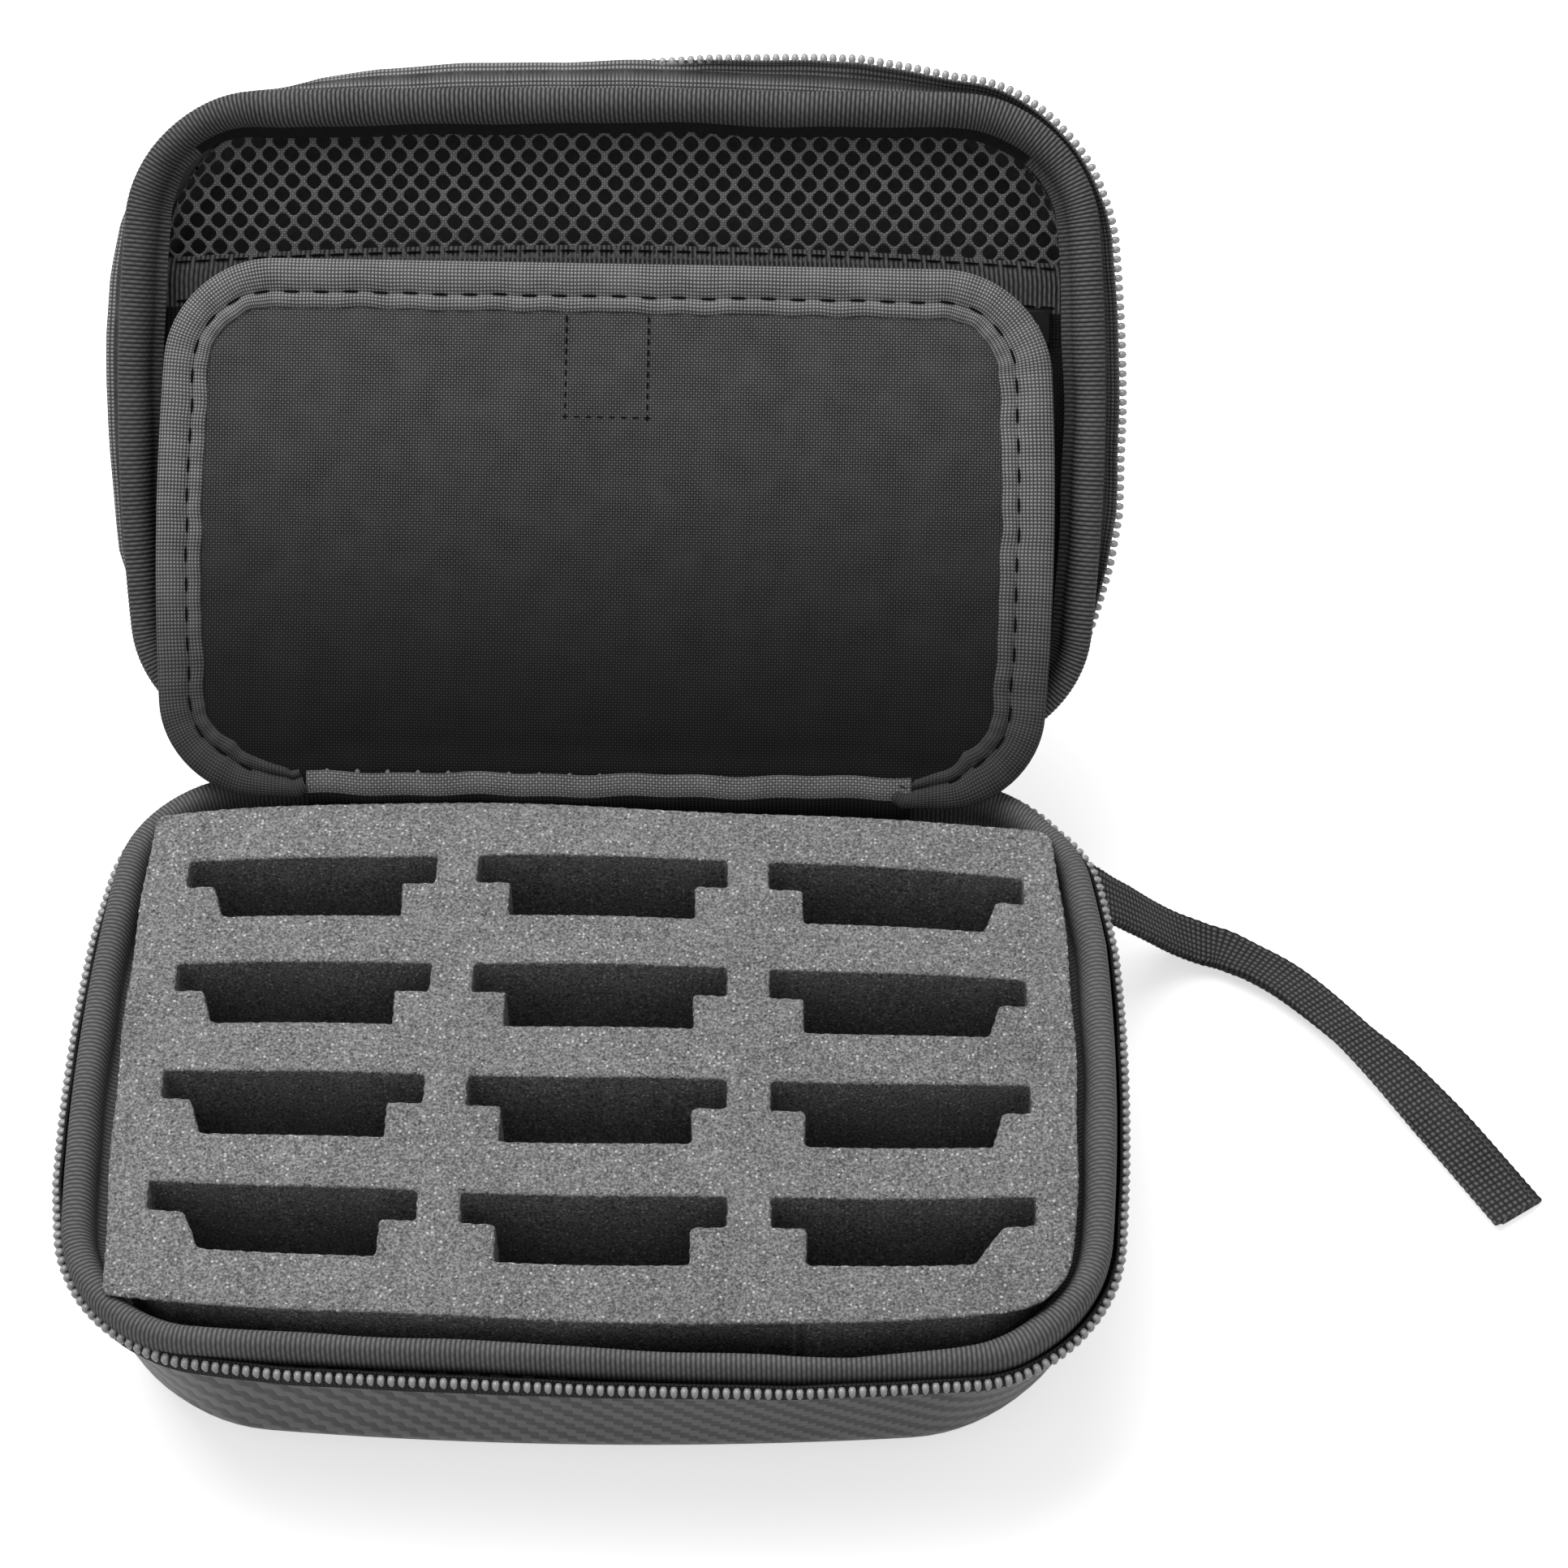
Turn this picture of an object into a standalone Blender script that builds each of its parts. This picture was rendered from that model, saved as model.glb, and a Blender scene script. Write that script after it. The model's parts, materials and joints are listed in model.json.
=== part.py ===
"""Zipped hard-shell carry case for tabletop miniatures, standing open.

Frame: metres, +Z up, +X to the viewer's right, +Y to the hinge side.
The origin is the middle of the flat bottom, between the rear and the front rim lines.
Both halves are drawn closed, about the plane where the rims meet, and then swung open.
"""
import math

import bmesh
import bpy
from mathutils import Matrix, Vector
from mathutils.geometry import tessellate_polygon

# Case halves
CASE_WIDTH = 0.2040          # across the rim bindings, at the middle of the sides
CASE_DEPTH = 0.1320          # rear rim line to the front corners
CORNER_RADIUS = 0.0235
SIDE_BOW = 0.0050            # how far each side swells out
FRONT_BOW = 0.0050
BASE_HEIGHT = 0.0500         # floor to the meeting plane of the rims
LID_HEIGHT = 0.0320
BOTTOM_RADIUS = 0.0130       # rounded edge between wall and floor
CORNER_GAIN = 0.0060         # plan corners grow rounder towards the floor
WALL_DRAFT = 0.0030
WALL = 0.0026
SHELL_SET_IN = 0.0008        # outer wall inside the binding's outer line
LINING = 0.0008
GAP = 0.0003                 # between neighbours that touch on the real case

# Rim
BINDING_WIDTH = 0.0065
BINDING_HEIGHT = 0.0078
TAPE_THICKNESS = 0.0008
TAPE_WIDTH = 0.0028
TEETH_DEPTH = 0.0070         # middle of the teeth below the meeting plane
TEETH_HEIGHT = 0.0024
TEETH_OUT = 0.0021           # middle of the teeth outside the binding
TOOTH_REACH = 0.0012
TOOTH_ROOT = 0.0007
TOOTH_PITCH = 0.0046
HINGE_OUT = 0.0030           # fold of the hinge cloth behind the rear rim line
HINGE_LENGTH = 0.1240
LID_OPEN = math.radians(134.8)

# Foam
FOAM_PROUD = 0.0010          # foam above the meeting plane
FOAM_FIT = 0.0014
FOAM_PAD = 0.0080
SLOT_COLUMNS = 3
SLOT_ROWS = 4
SLOT_MARGIN = 0.00505        # foam beside the outer columns
SLOT_DIVIDER = 0.0083        # foam between two columns
SLOT_PITCH_Y = 0.0256
SLOT_PATTERN_Y = -0.0027     # middle of the slot pattern
SLOT_SHOULDER = 0.00675      # how much wider the far band is, at each end
SLOT_SLANT = 0.0028          # outer ends of the outer columns lean in towards the front
SLOT_FRONT_SLANT = 0.0060    # the same in the front row, beside the rounded corners
SLOT_STEP = 0.0064           # depth of the wide band at the far side
SLOT_DEPTH = 0.0142
STRIP_THICKNESS = 0.0008

# Divider flap
FLAP_SIDE_GAP = 0.0033       # flap inside the lid's binding, at each side
FLAP_LENGTH = 0.1074
FLAP_CORNER = 0.0210
FLAP_BOTTOM_CORNER = 0.0125
FLAP_BOW = 0.0027
FLAP_CORE = 0.0026
FLAP_CROWN = 0.0005
FLAP_BINDING = 0.0006
FLAP_BINDING_LAP = 0.0085
FLAP_HEM = 0.1200            # bottom edge without binding
FLAP_LIFT = 0.0005           # flap above the foam when folded down
FLAP_PIVOT_LIFT = 0.0011     # pivot line above the flap's lower face
FLAP_PIVOT_IN = 0.0004       # pivot line inside the rear binding
FLAP_START = 0.0010          # bottom edge of the flap beyond the pivot line
FLAP_OPEN = math.radians(141.5)
PATCH_WIDTH = 0.0170
PATCH_LENGTH = 0.0200
PATCH_THICKNESS = 0.0010
PATCH_MARGIN = 0.0020        # patch behind the pocket zip's rear tape

# Lid pocket
POCKET_DEPTH = 0.0150        # pocket panel below the meeting plane
PANEL = 0.0008
MESH_LENGTH = 0.0288         # net, front edge to band
BAND_LENGTH = 0.0102
NET_HEM = 0.0022
NET_COLUMNS = 27
NET_ROWS = 9
NET_STRAND = 0.0014
POCKET_TAPE = 0.0026
POCKET_COIL_WIDTH = 0.0030
POCKET_COIL_HEIGHT = 0.0014
POCKET_ZIP_END = 0.0005      # ends of the pocket zip inside the binding's inner line

# Sliders and pulls
SLIDER_LENGTH = 0.0090
SLIDER_WIDTH = 0.0078
SLIDER_HEIGHT = 0.0022
SLIDER_CHANNEL = 0.0040
SLIDER_LIP = 0.0004          # lips above the tape
BAIL_WIDTH = 0.0020
BAIL_SPAN = 0.0046
BAIL_RISE = 0.0023
BAIL_BAR = 0.0008
PULL_LENGTH = 0.0160
PULL_WIDTH = 0.0062
PULL_THICKNESS = 0.0008
PULL_BAR = 0.0010
ZIP_PULL_LENGTH = 0.0240

# Wrist strap: doubled webbing, sewn in at the right rear corner and lying on the floor
STRAP_WIDTH = 0.0115
STRAP_THICKNESS = 0.0026
STRAP_ROUTE = (
    (0.0976, 0.0504, 0.0338),
    (0.1025, 0.0513, 0.0288),
    (0.1085, 0.0533, 0.0215),
    (0.1180, 0.0562, 0.0095),
    (0.1252, 0.0566, 0.0040),
    (0.1322, 0.0548, 0.0017),
    (0.1442, 0.0468, 0.0017),
    (0.1589, 0.0304, 0.0017),
    (0.1728, 0.0120, 0.0017),
    (0.1861, -0.0084, 0.0017),
)

# Facets
ARC_STEPS = 6
SIDE_STEPS = 4
FRONT_STEPS = 6
ROLL_STEPS = 10
STRAP_STEPS = 3

# Derived places
HALF_WIDTH = CASE_WIDTH / 2 - SIDE_BOW
HALF_DEPTH = CASE_DEPTH / 2
RIM_Z = BASE_HEIGHT
HINGE_Y = HALF_DEPTH + HINGE_OUT
FOAM_TOP = RIM_Z + FOAM_PROUD
FOAM_WIDTH = 2 * (HALF_WIDTH - BINDING_WIDTH - FOAM_FIT)
SLOT_WIDE = (FOAM_WIDTH - 2 * SLOT_MARGIN - (SLOT_COLUMNS - 1) * SLOT_DIVIDER) / SLOT_COLUMNS
SLOT_NARROW = SLOT_WIDE - 2 * SLOT_SHOULDER
SLOT_PITCH_X = SLOT_WIDE + SLOT_DIVIDER
FLAP_WIDTH = CASE_WIDTH - 2 * (BINDING_WIDTH + FLAP_SIDE_GAP)
FLAP_FACE_Z = FOAM_TOP + FLAP_LIFT
FLAP_PIVOT_Y = HALF_DEPTH - BINDING_WIDTH - FLAP_PIVOT_IN
FLAP_PIVOT_Z = FLAP_FACE_Z + FLAP_PIVOT_LIFT
SHELL_TOP = BINDING_HEIGHT + 2 * GAP
ZIP_SLIDER_X = HINGE_LENGTH / 2 + SLIDER_LENGTH / 2 + GAP
TEETH_TRIM = SLIDER_LENGTH + 2 * GAP     # along the rim, from the hinge cloth's edge
REAR_HALF = HINGE_LENGTH / 4             # outline points on the straight rear

GREYS = {
    "shell": (0.060, 0.060, 0.062, 0.45),
    "lining": (0.012, 0.012, 0.013, 0.90),
    "binding": (0.055, 0.055, 0.057, 0.85),
    "tape": (0.035, 0.035, 0.037, 0.90),
    "teeth": (0.120, 0.120, 0.125, 0.30),
    "foam": (0.215, 0.215, 0.220, 0.95),
    "cloth": (0.030, 0.030, 0.032, 0.90),
    "flap_binding": (0.110, 0.110, 0.113, 0.80),
    "net": (0.040, 0.040, 0.042, 0.85),
    "webbing": (0.045, 0.045, 0.047, 0.85),
    "metal": (0.550, 0.550, 0.560, 0.25),
}


def clear_scene():
    for old in list(bpy.data.objects):
        bpy.data.objects.remove(old, do_unlink=True)


def material(slot):
    """Principled material of one of the case's greys, made once."""
    found = bpy.data.materials.get(slot)
    if found:
        return found
    red, green, blue, roughness = GREYS[slot]
    made = bpy.data.materials.new(slot)
    made.use_nodes = True
    shader = made.node_tree.nodes["Principled BSDF"]
    shader.inputs["Base Color"].default_value = (red, green, blue, 1.0)
    shader.inputs["Roughness"].default_value = roughness
    shader.inputs["Metallic"].default_value = 1.0 if slot == "metal" else 0.0
    return made


def pivot(name, location, turn=0.0, parent=None):
    """Empty on a joint axis; a positive turn closes towards -Y, about +X."""
    empty = bpy.data.objects.new(name, None)
    empty.parent = parent
    empty.location = location
    empty.rotation_euler = (turn, 0.0, 0.0)
    bpy.context.scene.collection.objects.link(empty)
    return empty


def add(name, mesh, slot, parent=None, origin=(0.0, 0.0, 0.0), smooth=True):
    """Object from a bmesh drawn in the closed case's frame, hung on its joint's empty."""
    bmesh.ops.recalc_face_normals(mesh, faces=mesh.faces)
    bmesh.ops.translate(mesh, verts=mesh.verts, vec=-Vector(origin))
    data = bpy.data.meshes.new(name)
    mesh.to_mesh(data)
    mesh.free()
    if smooth:
        data.shade_smooth()
        data.set_sharp_from_angle(angle=math.radians(35))
    data.materials.append(material(slot))
    made = bpy.data.objects.new(name, data)
    made.parent = parent
    bpy.context.scene.collection.objects.link(made)
    return made


def arc(centre, radius, start, steps):
    """Quarter circle in plan, counter-clockwise from a start angle in degrees."""
    points = []
    for step in range(steps + 1):
        angle = math.radians(start + 90.0 * step / steps)
        points.append((centre[0] + radius * math.cos(angle), centre[1] + radius * math.sin(angle)))
    return points


def between(first, last, steps):
    """Points strictly between two plan points."""
    points = []
    for step in range(1, steps):
        share = step / steps
        points.append((first[0] + (last[0] - first[0]) * share, first[1] + (last[1] - first[1]) * share))
    return points


def rounded_path(half_w, half_d, radius, rear_radius, side_bow, front_bow, gap_half):
    """Plan outline from the rear at -gap_half, round the front, to the rear at +gap_half.

    The sides and the front swell out; the rear stays straight for the hinge.
    """
    front = min(radius, half_w, half_d)
    rear = min(rear_radius, half_w - gap_half - GAP, half_d)
    corners = [
        arc((rear - half_w, half_d - rear), rear, 90.0, ARC_STEPS),
        arc((front - half_w, front - half_d), front, 180.0, ARC_STEPS),
        arc((half_w - front, front - half_d), front, 270.0, ARC_STEPS),
        arc((half_w - rear, half_d - rear), rear, 0.0, ARC_STEPS),
    ]
    points = [(-gap_half, half_d)]
    for corner, steps in zip(corners, (SIDE_STEPS, FRONT_STEPS, SIDE_STEPS, 0)):
        points += corner
        if steps:
            following = corners[corners.index(corner) + 1]
            points += between(corner[-1], following[0], steps)
    points.append((gap_half, half_d))
    bowed = []
    for x, y in points:
        across = x / half_w
        along = y / half_d
        bowed_y = y + (front_bow * along * (1 - across * across) if y < 0 else 0.0)
        bowed.append((x + side_bow * across * (1 - along * along), bowed_y))
    return bowed


def rim_path(out, corner_gain=0.0, gap_half=HINGE_LENGTH / 2):
    """Rim outline of the case moved outwards by a distance, split at the hinge cloth."""
    radius = CORNER_RADIUS + out + corner_gain
    return rounded_path(HALF_WIDTH + out, HALF_DEPTH + out, radius, radius, SIDE_BOW, FRONT_BOW, gap_half)


def stitch_rings(mesh, rings, close_rings, close_path):
    """Faces between rings of equal length; returns the rings' vertices."""
    loops = [[mesh.verts.new(point) for point in ring] for ring in rings]
    pairs = list(zip(loops, loops[1:]))
    if close_rings:
        pairs.append((loops[-1], loops[0]))
    for lower, upper in pairs:
        count = len(lower)
        for index in range(count if close_path else count - 1):
            after = (index + 1) % count
            mesh.faces.new((lower[index], lower[after], upper[after], upper[index]))
    return loops


def sweep(profile, side, closed, path=rim_path):
    """Solid whose profile points (out, depth) each follow the rim; side is -1 base, +1 lid."""
    mesh = bmesh.new()
    rings = []
    for out, depth in profile:
        rings.append([(x, y, RIM_Z + side * depth) for x, y in path(out)])
    loops = stitch_rings(mesh, rings, True, closed)
    if not closed:
        mesh.faces.new([loop[0] for loop in loops])
        mesh.faces.new([loop[-1] for loop in loops])
    return mesh


def wall_profile(set_in, floor, radius, top):
    """Wall of a half from its top edge to its floor, as (out, depth, corner gain)."""
    points = [(-set_in, top, set_in)]
    side = set_in + WALL_DRAFT
    for step in range(ARC_STEPS):
        angle = math.radians(90.0 * step / (ARC_STEPS - 1))
        out = side + radius * (1 - math.cos(angle))
        depth = floor - radius * (1 - math.sin(angle))
        points.append((-out, depth, out + CORNER_GAIN))
    return points


def wall_rings(profile, side):
    rings = []
    for out, depth, gain in profile:
        rings.append([(x, y, RIM_Z + side * depth) for x, y in rim_path(out, gain, REAR_HALF)])
    return rings


def tub(set_in, wall, height, side):
    """Open tray of one half: outer and inner wall, each closed by its floor."""
    mesh = bmesh.new()
    outer = wall_profile(set_in, height, BOTTOM_RADIUS - set_in + SHELL_SET_IN, SHELL_TOP)
    inner_in = set_in + wall
    inner = wall_profile(inner_in, height - wall, BOTTOM_RADIUS - inner_in + SHELL_SET_IN, SHELL_TOP)
    rings = wall_rings(outer[::-1], side) + wall_rings(inner, side)
    loops = stitch_rings(mesh, rings, False, True)
    mesh.faces.new(loops[0])
    mesh.faces.new(loops[-1])
    return mesh


def inside_at(depth, height, clearance):
    """Outline offset and corner gain that clear the lining at a depth below the rim."""
    set_in = SHELL_SET_IN + WALL + GAP + LINING + clearance
    radius = BOTTOM_RADIUS - set_in + SHELL_SET_IN
    floor = height - (set_in - SHELL_SET_IN)
    rise = min(max(floor - depth, 0.0), radius)
    share = min(1.0, max(0.0, (depth - SHELL_TOP) / (floor - radius - SHELL_TOP)))
    curve = radius - math.sqrt(radius * radius - (radius - rise) ** 2)
    out = set_in + WALL_DRAFT * share + curve
    return -out, out + CORNER_GAIN * share


def roll_profile():
    """Rounded section of a rim binding, from the outside over the top to the inside."""
    points = []
    for step in range(ROLL_STEPS):
        angle = 2 * math.pi * step / ROLL_STEPS
        out = BINDING_WIDTH / 2 * (math.cos(angle) - 1)
        depth = GAP + BINDING_HEIGHT / 2 * (1 - math.sin(angle))
        points.append((out, depth))
    return points


def teeth_bottom():
    return TEETH_DEPTH + TEETH_HEIGHT / 2


def tape_profile():
    """Zip tape from the seam under the binding, leaning out to carry the teeth."""
    top = teeth_bottom() + GAP
    seam = top + TAPE_WIDTH
    lean = TEETH_OUT - TAPE_THICKNESS / 2
    return [(GAP, seam), (GAP + TAPE_THICKNESS, seam), (lean + TAPE_THICKNESS, top), (lean, top)]


def lengths_along(points):
    total = [0.0]
    for first, last in zip(points, points[1:]):
        total.append(total[-1] + math.dist(first, last))
    return total


def spaced(points, trim, count):
    """Points spaced evenly along a trimmed plan path, with the outward direction at each."""
    total = lengths_along(points)
    made = []
    leg = 0
    for step in range(count):
        place = trim + (total[-1] - 2 * trim) * step / (count - 1)
        while leg < len(points) - 2 and total[leg + 1] < place:
            leg += 1
        share = (place - total[leg]) / (total[leg + 1] - total[leg])
        start = Vector(points[leg])
        run = Vector(points[leg + 1]) - start
        outward = Vector((run.y, -run.x)).normalized()
        made.append((start + run * share, outward))
    return made


def zip_teeth(side):
    """Row of moulded teeth: one strip that swells at every tooth and narrows between."""
    mesh = bmesh.new()
    path = rim_path(TEETH_OUT)
    row = lengths_along(path)[-1] - 2 * TEETH_TRIM
    count = 2 * round(row / TOOTH_PITCH) + 1
    top = TEETH_DEPTH - TEETH_HEIGHT / 2
    rings = []
    for index, (place, outward) in enumerate(spaced(path, TEETH_TRIM, count)):
        reach = TOOTH_REACH if index % 2 else TOOTH_ROOT
        inner = place - outward * reach
        outer = place + outward * reach
        rings.append([
            (inner.x, inner.y, RIM_Z + side * teeth_bottom()),
            (outer.x, outer.y, RIM_Z + side * teeth_bottom()),
            (outer.x, outer.y, RIM_Z + side * top),
            (inner.x, inner.y, RIM_Z + side * top),
        ])
    loops = stitch_rings(mesh, rings, False, True)
    mesh.faces.new(loops[0])
    mesh.faces.new(loops[-1])
    return mesh


def hinge_leaf(side):
    """Half of the hinge cloth, from the seam under the binding to the fold line."""
    mesh = bmesh.new()
    seam = teeth_bottom() + GAP + TAPE_WIDTH
    fold = HINGE_OUT - TAPE_THICKNESS - GAP
    half = HINGE_LENGTH / 2 - TAPE_WIDTH
    profile = [(GAP, seam), (GAP + TAPE_THICKNESS, seam), (fold + TAPE_THICKNESS, GAP), (fold, GAP)]
    rings = []
    for x in (-half, half):
        rings.append([(x, HALF_DEPTH + out, RIM_Z + side * depth) for out, depth in profile])
    loops = stitch_rings(mesh, rings, False, True)
    mesh.faces.new(loops[0])
    mesh.faces.new(loops[-1])
    return mesh


def slab_with_holes(outlines, holes, heights):
    """Solid between two heights with straight holes; one outline per level, bottom first."""
    mesh = bmesh.new()
    rings = [[(x, y, z) for x, y in outline] for outline, z in zip(outlines, heights)]
    loops = stitch_rings(mesh, rings, False, True)
    ends = [[loops[0]], [loops[-1]]]
    for hole in holes:
        walls = stitch_rings(mesh, [[(x, y, z) for x, y in hole] for z in (heights[0], heights[-1])], False, True)
        ends[0].append(walls[0])
        ends[1].append(walls[1])
    for rims in ends:
        corners = [vertex for rim in rims for vertex in rim]
        for triangle in tessellate_polygon([[vertex.co for vertex in rim] for rim in rims]):
            mesh.faces.new([corners[index] for index in triangle])
    return mesh


def slot_outline(x, y, lean_left, lean_right):
    """Stepped slot: a wide band at the far side and a narrower one in front of it."""
    far = y + SLOT_DEPTH / 2
    step = far - SLOT_STEP
    near = y - SLOT_DEPTH / 2
    wide = SLOT_WIDE / 2
    narrow = SLOT_NARROW / 2
    return [
        (x - wide, far), (x - wide, step), (x - narrow, step), (x - narrow + lean_left, near),
        (x + narrow - lean_right, near), (x + narrow, step), (x + wide, step), (x + wide, far),
    ]


def slots():
    made = []
    for row in range(SLOT_ROWS):
        y = SLOT_PATTERN_Y + ((SLOT_ROWS - 1) / 2 - row) * SLOT_PITCH_Y
        slant = SLOT_FRONT_SLANT if row == SLOT_ROWS - 1 else SLOT_SLANT
        for column in range(SLOT_COLUMNS):
            x = (column - (SLOT_COLUMNS - 1) / 2) * SLOT_PITCH_X
            lean_left = slant if column == 0 else 0.0
            lean_right = slant if column == SLOT_COLUMNS - 1 else 0.0
            made.append(slot_outline(x, y, lean_left, lean_right))
    return made


def clear_rear(outline):
    """Outline pulled forward along the rear, where the flap's hinge strip hangs."""
    limit = HALF_DEPTH - BINDING_WIDTH - GAP - STRIP_THICKNESS - FOAM_FIT
    return [(x, min(y, limit)) for x, y in outline]


def foam_levels():
    """Heights of the foam: floor pad bottom and top, insert bottom, bulge and top."""
    pad_bottom = WALL + GAP + LINING + GAP
    pad_top = pad_bottom + FOAM_PAD
    return pad_bottom, pad_top, pad_top + GAP


def foam_outline(height):
    """Foam outline that clears the lining, and the binding's opening from the wall's top up."""
    depth = BASE_HEIGHT - height
    opening = BINDING_WIDTH + FOAM_FIT
    if depth < SHELL_TOP + GAP:
        return clear_rear(rim_path(-opening, gap_half=REAR_HALF))
    out, gain = inside_at(depth, BASE_HEIGHT, FOAM_FIT)
    tuck = max(0.0, opening + out)
    return clear_rear(rim_path(out - tuck, gain + tuck, REAR_HALF))


def foam_insert():
    bottom = foam_levels()[2]
    shoulder = bottom + BOTTOM_RADIUS / 2
    heights = [bottom, shoulder, BASE_HEIGHT - SHELL_TOP, FOAM_TOP]
    return slab_with_holes([foam_outline(height) for height in heights], slots(), heights)


def foam_floor_pad():
    bottom, top, _ = foam_levels()
    heights = [bottom, (bottom + top) / 2, top]
    return slab_with_holes([foam_outline(height) for height in heights], [], heights)


def hinge_strip():
    """Cloth strip over the inner side of the rear binding, which the flap folds on."""
    mesh = bmesh.new()
    inner = HALF_DEPTH - BINDING_WIDTH - GAP
    top = RIM_Z - GAP
    low = RIM_Z - BINDING_HEIGHT
    lean = BINDING_WIDTH / 4
    profile = [
        (inner, low), (inner, RIM_Z - BINDING_HEIGHT / 2), (inner + lean / 3, top + GAP),
        (inner + lean / 3 - STRIP_THICKNESS, top + GAP),
        (inner - STRIP_THICKNESS, RIM_Z - BINDING_HEIGHT / 2), (inner - STRIP_THICKNESS, low),
    ]
    half = FLAP_HEM / 2
    loops = stitch_rings(mesh, [[(x, y, z) for y, z in profile] for x in (-half, half)], False, True)
    mesh.faces.new(loops[0])
    mesh.faces.new(loops[-1])
    return mesh


def flap_path(out):
    """Flap outline, folded down on the foam, split at the bottom hem."""
    half_w = FLAP_WIDTH / 2 - FLAP_BOW + out
    half_d = FLAP_LENGTH / 2 + out
    middle = FLAP_PIVOT_Y - FLAP_START - FLAP_LENGTH / 2
    bottom = max(FLAP_BOTTOM_CORNER + out, FLAP_BINDING)
    points = rounded_path(half_w, half_d, FLAP_CORNER + out, bottom, FLAP_BOW, 0.0, FLAP_HEM / 2)
    return [(x, y + middle) for x, y in points]


def flap_panel():
    """Padded panel: thin at the bound edge, with a slight crown on both faces."""
    mesh = bmesh.new()
    lower = FLAP_FACE_Z + FLAP_BINDING + GAP
    upper = lower + FLAP_CORE
    edge = -FLAP_BINDING - GAP
    crowned = edge - FLAP_BINDING_LAP
    levels = [
        (crowned - FLAP_CORNER / 2, lower - FLAP_CROWN), (crowned, lower), (edge - FLAP_CORE / 3, lower),
        (edge, lower + FLAP_CORE / 3), (edge, upper - FLAP_CORE / 3), (edge - FLAP_CORE / 3, upper),
        (crowned, upper), (crowned - FLAP_CORNER / 2, upper + FLAP_CROWN),
    ]
    loops = stitch_rings(mesh, [[(x, y, z) for x, y in flap_path(out)] for out, z in levels], False, True)
    mesh.faces.new(loops[0])
    mesh.faces.new(loops[-1])
    return mesh


def flap_binding():
    """Cloth binding folded round three edges of the flap, open along the bottom hem."""
    mesh = bmesh.new()
    low = FLAP_FACE_Z
    high = FLAP_FACE_Z + FLAP_CORE + 2 * (FLAP_BINDING + GAP)
    lap = -FLAP_BINDING_LAP
    skin = FLAP_BINDING
    profile = [
        (lap, low), (-skin, low), (0.0, low + skin), (0.0, high - skin), (-skin, high), (lap, high),
        (lap, high - skin), (-skin, high - skin), (-skin, low + skin), (lap, low + skin),
    ]
    loops = stitch_rings(mesh, [[(x, y, z) for x, y in flap_path(out)] for out, z in profile], True, False)
    mesh.faces.new([loop[0] for loop in loops])
    mesh.faces.new([loop[-1] for loop in loops])
    return mesh


def box(low, high):
    mesh = bmesh.new()
    rings = []
    for z in (low[2], high[2]):
        rings.append([(low[0], low[1], z), (high[0], low[1], z), (high[0], high[1], z), (low[0], high[1], z)])
    loops = stitch_rings(mesh, rings, False, True)
    mesh.faces.new(loops[0])
    mesh.faces.new(loops[-1])
    return mesh


def patch(front, face_z, direction):
    """Square of hook-and-loop tape on a face, standing off it in one direction."""
    near = face_z + direction * GAP
    far = near + direction * PATCH_THICKNESS
    low = (-PATCH_WIDTH / 2, front, min(near, far))
    return box(low, (PATCH_WIDTH / 2, front + PATCH_LENGTH, max(near, far)))


def turned(y, z, axis_y, axis_z, angle):
    """Point swung about an axis along X; a positive angle turns +Y towards +Z."""
    away_y = y - axis_y
    away_z = z - axis_z
    swung_y = axis_y + away_y * math.cos(angle) - away_z * math.sin(angle)
    swung_z = axis_z + away_y * math.sin(angle) + away_z * math.cos(angle)
    return swung_y, swung_z


def loop_patch_front():
    """Front edge of the lid's patch, behind the pocket zip."""
    return pocket_lines()[5] + PATCH_MARGIN


def hook_patch_front():
    """Front edge of the flap's patch, where it meets the lid's patch with the case open."""
    open_y, open_z = turned(loop_patch_front(), RIM_Z, HINGE_Y, RIM_Z, -LID_OPEN)
    return turned(open_y, open_z, FLAP_PIVOT_Y, FLAP_PIVOT_Z, FLAP_OPEN)[0]


def cut_level(outline, level, keep_above):
    """Part of a convex outline on one side of a line of constant y."""
    kept = []
    sign = 1 if keep_above else -1
    for index, (x, y) in enumerate(outline):
        next_x, next_y = outline[(index + 1) % len(outline)]
        here = sign * (y - level)
        there = sign * (next_y - level)
        if here >= 0:
            kept.append((x, y))
        if here * there < 0:
            share = here / (here - there)
            kept.append((x + (next_x - x) * share, level))
    return kept


def pocket_outline(front, rear):
    """Piece of the pocket panel between two lines across the lid."""
    out, gain = inside_at(POCKET_DEPTH, LID_HEIGHT, GAP)
    whole = rim_path(out, gain, REAR_HALF)
    return cut_level(cut_level(whole, front, True), rear, False)


def pocket_lines():
    """Lines across the pocket, front to rear: net, band, tape, coil, tape, panel."""
    net = -HALF_DEPTH - FRONT_BOW
    band = inside_front() + MESH_LENGTH
    tape = band + BAND_LENGTH
    coil = tape + POCKET_TAPE
    second = coil + POCKET_COIL_WIDTH + 2 * GAP
    panel = second + POCKET_TAPE
    return net, band, tape, coil, second, panel, HALF_DEPTH


def inside_front():
    return -HALF_DEPTH - FRONT_BOW + BINDING_WIDTH


def pocket_z(thickness):
    """Bottom and top height of a pocket piece, hung from the panel's middle plane."""
    middle = RIM_Z + POCKET_DEPTH
    return [middle - thickness / 2, middle + thickness / 2]


def pocket_plate(front, rear):
    outline = pocket_outline(front + GAP / 2, rear - GAP / 2)
    return slab_with_holes([outline, outline], [], pocket_z(PANEL))


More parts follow.
